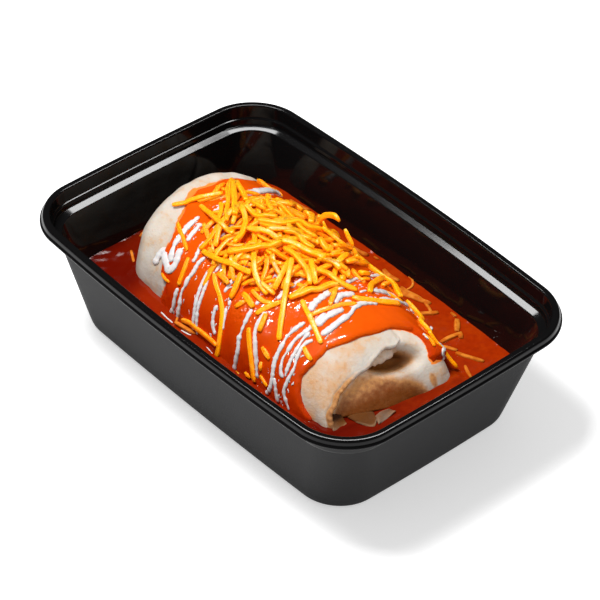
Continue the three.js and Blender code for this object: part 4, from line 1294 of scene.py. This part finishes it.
# Shreds by their width, tone (0 yellow, 1 orange) and the pixels that they pass through in the main
# view, from the lowest to the topmost.
SHRED_PIXELS = [
    (2.2, 0.8, [(177, 222), (181, 233), (184, 241), (187, 250)]),
    (2.2, 0.8, [(189, 258), (186, 266), (182, 276), (178.5, 285)]),
    (1.6, 0.8, [(161, 273), (165, 279), (169, 282)]),
    (2.3, 0.7, [(204, 224), (206, 232), (209, 240), (211, 244)]),
    (1.3, 0.8, [(212, 242), (213.5, 252)]),
    (2.8, 0.9, [(218, 273), (224, 278), (228, 283)]),
    (2.3, 0.9, [(235, 307), (245, 301)]),
    (2.7, 0.5, [(242, 271), (239, 278), (235, 288), (230, 298)]),
    (2.2, 0.2, [(212, 272), (216, 285), (220, 297), (222, 310), (221.5, 325), (219, 345), (216, 358)]),
    (3.0, 0.4, [(243, 293), (248, 299), (253, 307)]),
    (2.3, 0.7, [(249, 328), (250, 345), (252, 365), (254, 382)]),
    (2.7, 0.6, [(266, 314), (263, 322), (259, 331)]),
    (2.2, 0.8, [(262, 347), (269, 359)]),
    (2.0, 0.8, [(261, 362), (260, 371)]),
    (1.7, 0.8, [(260, 376), (267, 386)]),
    (1.9, 0.9, [(236, 371), (242, 377)]),
    (1.9, 0.8, [(245, 372), (250, 378)]),
    (2.2, 0.8, [(268, 257), (267, 266), (262, 281)]),
    (2.3, 1.0, [(272, 260), (276, 268), (281, 276)]),
    (1.9, 0.7, [(242, 285), (250, 281), (259, 279)]),
    (2.2, 0.6, [(252, 290), (258, 297), (265, 302), (272, 303)]),
    (2.2, 0.7, [(311, 315), (320, 311), (330, 308), (340, 305), (357, 304)]),
    (2.3, 0.6, [(336, 289), (330, 305)]),
    (1.7, 0.9, [(425, 335), (434, 346)]),
    (2.7, 0.4, [(352, 297), (360, 299), (370, 300), (385, 302), (400, 304)]),
    (2.0, 0.4, [(386, 291), (392, 295), (403, 302)]),
    (2.3, 0.2, [(304, 347), (307, 354), (311, 360)]),
    (2.3, 0.9, [(258, 178), (263, 183), (270, 188), (280, 191), (287, 190)]),
    (2.3, 0.7, [(264, 257), (257, 263), (250, 266)]),
    (1.9, 0.6, [(349, 261), (358, 258)]),
    (1.9, 0.6, [(361, 279), (370, 278)]),
    (2.2, 0.6, [(383, 285), (389, 283)]),
    (2.3, 0.6, [(348, 269), (349, 276)]),
    (2.2, 0.5, [(330, 256), (344, 254)]),
    (1.9, 0.6, [(331, 251), (342, 250.5)]),
    (1.9, 0.6, [(316, 284), (321, 279), (326, 275)]),
    (1.9, 0.7, [(228, 245), (236, 247), (245, 246)]),
    (2.0, 0.4, [(283, 202), (292.5, 198)]),
    (2.7, 0.4, [(276, 209), (291, 214)]),
    (2.3, 0.3, [(313, 213), (315, 223)]),
    (1.8, 0.3, [(258, 236), (273, 241)]),
    (1.8, 0.4, [(262, 202), (263, 208)]),
    (2.7, 0.2, [(249, 199), (258, 198)]),
    (2.6, 0.2, [(253, 204), (258, 208), (267, 213)]),
    (2.7, 0.2, [(267, 197), (268, 204), (270, 210), (274, 215)]),
    (2.7, 0.1, [(246, 208), (253, 213), (260, 216), (270, 218), (278, 219)]),
    (2.8, 0.1, [(247, 228), (256, 230), (264, 232), (272, 235), (280, 239)]),
    (3.0, 0.0, [(227, 252), (238, 250), (250, 248), (262, 246), (272, 244), (282, 240)]),
    (2.7, 0.1, [(203, 251), (210, 255), (226, 262), (235, 266), (252, 275)]),
    (2.7, 0.2, [(253, 251), (254, 262), (255, 272), (259, 283), (267, 294)]),
    (2.3, 0.2, [(259, 280), (266, 287), (275, 295)]),
    (2.4, 0.2, [(256, 314), (268, 307), (281, 302)]),
    (3.0, 0.1, [(289, 298), (301, 293), (310, 289), (318, 289), (330, 284), (343, 283)]),
    (2.7, 0.1, [(290, 258), (285, 268), (280, 277), (274, 289)]),
    (2.7, 0.0, [(292, 258), (290, 268), (287, 283), (284, 300), (282, 315), (280, 328), (279, 340)]),
    (2.5, 0.0, [(302, 300), (306, 310), (311, 320), (316, 331), (321, 343)]),
    (2.7, 0.1, [(326, 259), (334, 262), (340, 269)]),
    (2.5, 0.2, [(317, 270), (329, 274), (336, 279), (344, 284), (357, 290)]),
    (2.7, 0.2, [(344, 265), (356, 264), (368, 263)]),
    (2.7, 0.1, [(337, 263), (347, 255)]),
    (3.2, 0.0, [(360, 273), (369, 273)]),
    (3.0, 0.1, [(340, 276), (346, 278)]),
    (2.7, 0.2, [(370, 292), (371, 285), (376, 281), (384, 278)]),
    (1.9, 0.0, [(398, 284), (407, 277)]),
    (2.7, 0.0, [(311, 259), (312, 266), (314, 276), (316, 284)]),
    (2.7, 0.1, [(284, 247), (293, 253), (301, 261), (306, 267), (309, 275), (310, 284)]),
    (3.0, 0.0, [(280, 240), (290, 242), (300, 247), (309, 251), (325, 259)]),
    (2.7, 0.1, [(292, 231), (300, 237), (310, 241)]),
    (2.7, 0.2, [(284, 231), (294, 234), (307, 244), (314, 249)]),
    (2.8, 0.0, [(260, 224), (282, 225), (300, 227), (310, 229), (320, 231), (338, 239)]),
    (2.7, 0.1, [(309, 225), (320, 227)]),
    (3.0, 0.1, [(305, 212), (307, 219), (308, 226)]),
    (2.9, 0.2, [(276, 206), (285, 205), (299, 206.5), (303, 209)]),
    (3.0, 0.1, [(319, 243), (323, 247), (329, 251)]),
    (2.7, 0.0, [(320, 234), (330, 239), (341, 246), (350, 251), (357, 258)]),
    (2.3, 0.1, [(338, 234), (346, 240)]),
    (2.8, 0.1, [(352, 244), (360, 249), (369, 256), (379, 263), (386, 270), (392, 278), (402, 296)]),
    (2.7, 0.1, [(407, 300), (413, 307), (420, 315), (425, 326), (430, 333)]),
    (2.3, 0.9, [(181, 320), (190, 323), (200, 331), (208, 338), (216, 345)]),
    (2.5, 0.2, [(200, 205), (207, 211), (215, 218), (222, 224), (233, 233)]),
    (2.2, 0.0, [(171, 203.5), (185, 201), (200, 198), (210, 195), (223, 193)]),
    (2.2, 0.2, [(232, 178), (229, 183), (227, 190), (226.5, 195)]),
    (2.2, 0.1, [(231, 180), (229, 200), (228, 210), (228, 222)]),
    (2.9, 0.0, [(233, 180), (234, 190), (235, 200), (237, 217)]),
    (2.7, 0.1, [(236, 181), (240, 187), (243, 193), (247, 203)]),
    (2.7, 0.0, [(240, 207), (244, 212), (246, 218), (245, 225), (241, 232), (234, 242)]),
]
# Shreds that stand free behind the crest and down the far shoulder, by their width, tone, how far
# across the tray they begin and end, and the pixels.
STANDING_PIXELS = [
    (2.6, 0.1, 25.4, 33.0, [(429, 331), (437, 343), (444, 351), (450, 359), (457, 367)]),
    (2.9, 0.0, 32.8, 32.8, [(318, 231), (320, 222), (323, 217), (330, 215), (336, 217), (339.5, 221)]),
    (1.9, 0.2, 31.0, 31.0, [(323, 221), (325, 226), (328.5, 232)]),
    (2.7, 0.1, 30.0, 30.0, [(345, 229), (347, 234), (350, 240), (353, 246)]),
    (2.6, 0.2, 31.0, 31.0, [(305, 211), (309, 215), (312, 222)]),
]
FILLERS = 95
LOOSE_SHREDS = 22
FILLER_SINK = 0.45
LOOSE_SINK = 0.7
SHRED_SINK = 0.3
SHRED_MIDDLE = 0.36
FIRST_LIFT = 1.5
cheese = Heap()
for index in range(FILLERS + LOOSE_SHREDS):
    loose = index < LOOSE_SHREDS
    radius = math.sqrt(random.random()) * (1.15 if loose else 0.86)
    turn = random.uniform(0, 2 * math.pi)
    middle = HEAP_MIDDLE + HEAP_HALF * radius * (math.cos(turn), math.sin(turn))
    length = random.uniform(6, 13) if loose else random.uniform(10, 22)
    flat = shred_path(middle, random.uniform(0, math.pi), length, random.normal(0, 0.5))
    tone = random.uniform(0.6, 1.0) if loose else random.uniform(0.15, 0.75)
    add_shred(cheese, flat, random.uniform(2.0, 2.7), tone, LOOSE_SINK if loose else FILLER_SINK)
for width, shred_tone, spots in SHRED_PIXELS:
    lift = FIRST_LIFT
    for _ in range(3):
        keys = place_seen(spots, COAT_OUTER + lift)
        flat = curve_through(keys * UNROLL, SHRED_STEP)
        level, _ = resting(flat, width, SHRED_SINK)
        lift = np.interp(np.linspace(0, 1, len(spots)), np.linspace(0, 1, len(flat)), level)
        lift = lift + SHRED_MIDDLE * width
    add_shred(cheese, flat, width, shred_tone + random.uniform(0, 0.15), SHRED_SINK)
for width, shred_tone, first_across, last_across, spots in STANDING_PIXELS:
    across = np.linspace(first_across, last_across, len(spots))
    line = curve_through(plane_seen(spots, 1, across), SHRED_STEP)
    add_bar(cheese, line, np.tile(-view_right, (len(line), 1)), width, SHRED_FLATNESS * width, shred_tone)

cheese_finish = Finish("orange_cheddar")
tone = cheese_finish.mark("tone")
milk = cheese_finish.grain(3.5)
cheese_colour = cheese_finish.mix(tone, CHEESE_YELLOW, CHEESE_ORANGE)
cheese_colour = cheese_finish.mix(milk.rising(0.5, 0.75) * 0.35, cheese_colour, CHEESE_PALE)
cheese_material = cheese_finish.paint({
    "Base Color": cheese_colour,
    "Roughness": 0.4 - 0.12 * cheese_finish.grain(2),
    "Specular IOR Level": 0.4,
    "Subsurface Weight": 0.7,
    "Subsurface Radius": (1.6, 1.1, 0.2),
    "Subsurface Scale": 0.0022,
    "Normal": cheese_finish.bump(cheese_finish.grain(0.9), 0.14),
})
grated = cheese.made("grated_cheese", cheese_material)
lit_by(grated, front_light, crest_light, side_light, high_sparkle)
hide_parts("cheese")
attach(grated, "root")

# Shreds half sunk in the pool, by their width and the pixels, and a few more behind the roll, by their
# x, y, heading, length and bend.
SUNK_PIXELS = [
    (1.2, [(409, 276), (412, 279), (413, 283), (411, 287), (407, 289)]),
    (1.5, [(401, 286), (406, 290), (412, 293), (418, 296), (424, 301), (428, 306), (433, 315)]),
    (2.2, [(401, 293), (406, 295), (412, 297)]),
    (2.7, [(457, 319), (457, 331)]),
    (2.5, [(441, 342), (448, 338), (461, 333)]),
    (2.7, [(460, 332), (461, 338)]),
    (2.0, [(443, 346), (457, 350)]),
    (2.2, [(456, 352), (463, 355), (470, 357), (484, 361)]),
    (1.7, [(465, 365), (467, 370), (471, 377)]),
    (1.7, [(451, 312), (456, 316)]),
    (1.4, [(374, 256), (379, 259)]),
    (2.0, [(175, 323), (185, 329), (196, 335)]),
    (1.3, [(182, 309), (178, 318), (176, 323)]),
    (2.2, [(207, 330), (211, 332)]),
    (1.7, [(140, 236), (147, 229)]),
    (1.4, [(131, 250), (134, 262)]),
    (1.4, [(127, 275), (134, 277)]),
]
SUNK_BEHIND = [
    (22, 53, 0.2, 17, 0.5), (34, 49, 0.9, 12, 0.4), (-20, 56, 0.1, 13, 0.6), (-62, 57, 0.15, 12, 0.4),
    (4, 55, -0.1, 10, 0.8), (-60, -48, 0.3, 11, 0.4),
]
SUNK_TOP = 0.5
SUNK_LIFT = 0.15
FLANK_LIFT = 0.9
BEHIND_WIDTH = 2.3
BEHIND_THICK = 1.7
sunk = Heap()
for width, spots in SUNK_PIXELS:
    line = curve_through(plane_seen(spots, 2, SAUCE_LEVEL + SUNK_TOP), SHRED_STEP)
    by_flank = smooth(0, -30, line[:, 1]) * smooth(-66, -60, line[:, 0])
    line[:, 2] = SAUCE_LEVEL + SUNK_LIFT + FLANK_LIFT * by_flank
    add_bar(sunk, line, np.tile(UPRIGHT, (len(line), 1)), width, SHRED_FLATNESS * width, 0.0)
for x, y, heading, length, bend in SUNK_BEHIND:
    plan = shred_path(np.array([x, y], float), heading, length, bend)
    line = np.column_stack([plan, np.full(len(plan), SAUCE_LEVEL + SUNK_LIFT)])
    add_bar(sunk, line, np.tile(UPRIGHT, (len(line), 1)), BEHIND_WIDTH, BEHIND_THICK, 0.0)
sunk_finish = Finish("sauced_cheddar")
sunk_material = sunk_finish.paint({
    "Base Color": sunk_finish.mix(sunk_finish.grain(3).rising(0.35, 0.65), SAUCED_ORANGE, SAUCED_PALE),
    "Roughness": 0.3 + 0.05 * sunk_finish.grain(2),
    "Specular IOR Level": 0.45,
    "Normal": sunk_finish.bump(sunk_finish.grain(0.9), 0.16),
})
sunk_shreds = sunk.made("sunk_shreds", sunk_material)
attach(sunk_shreds, "root")
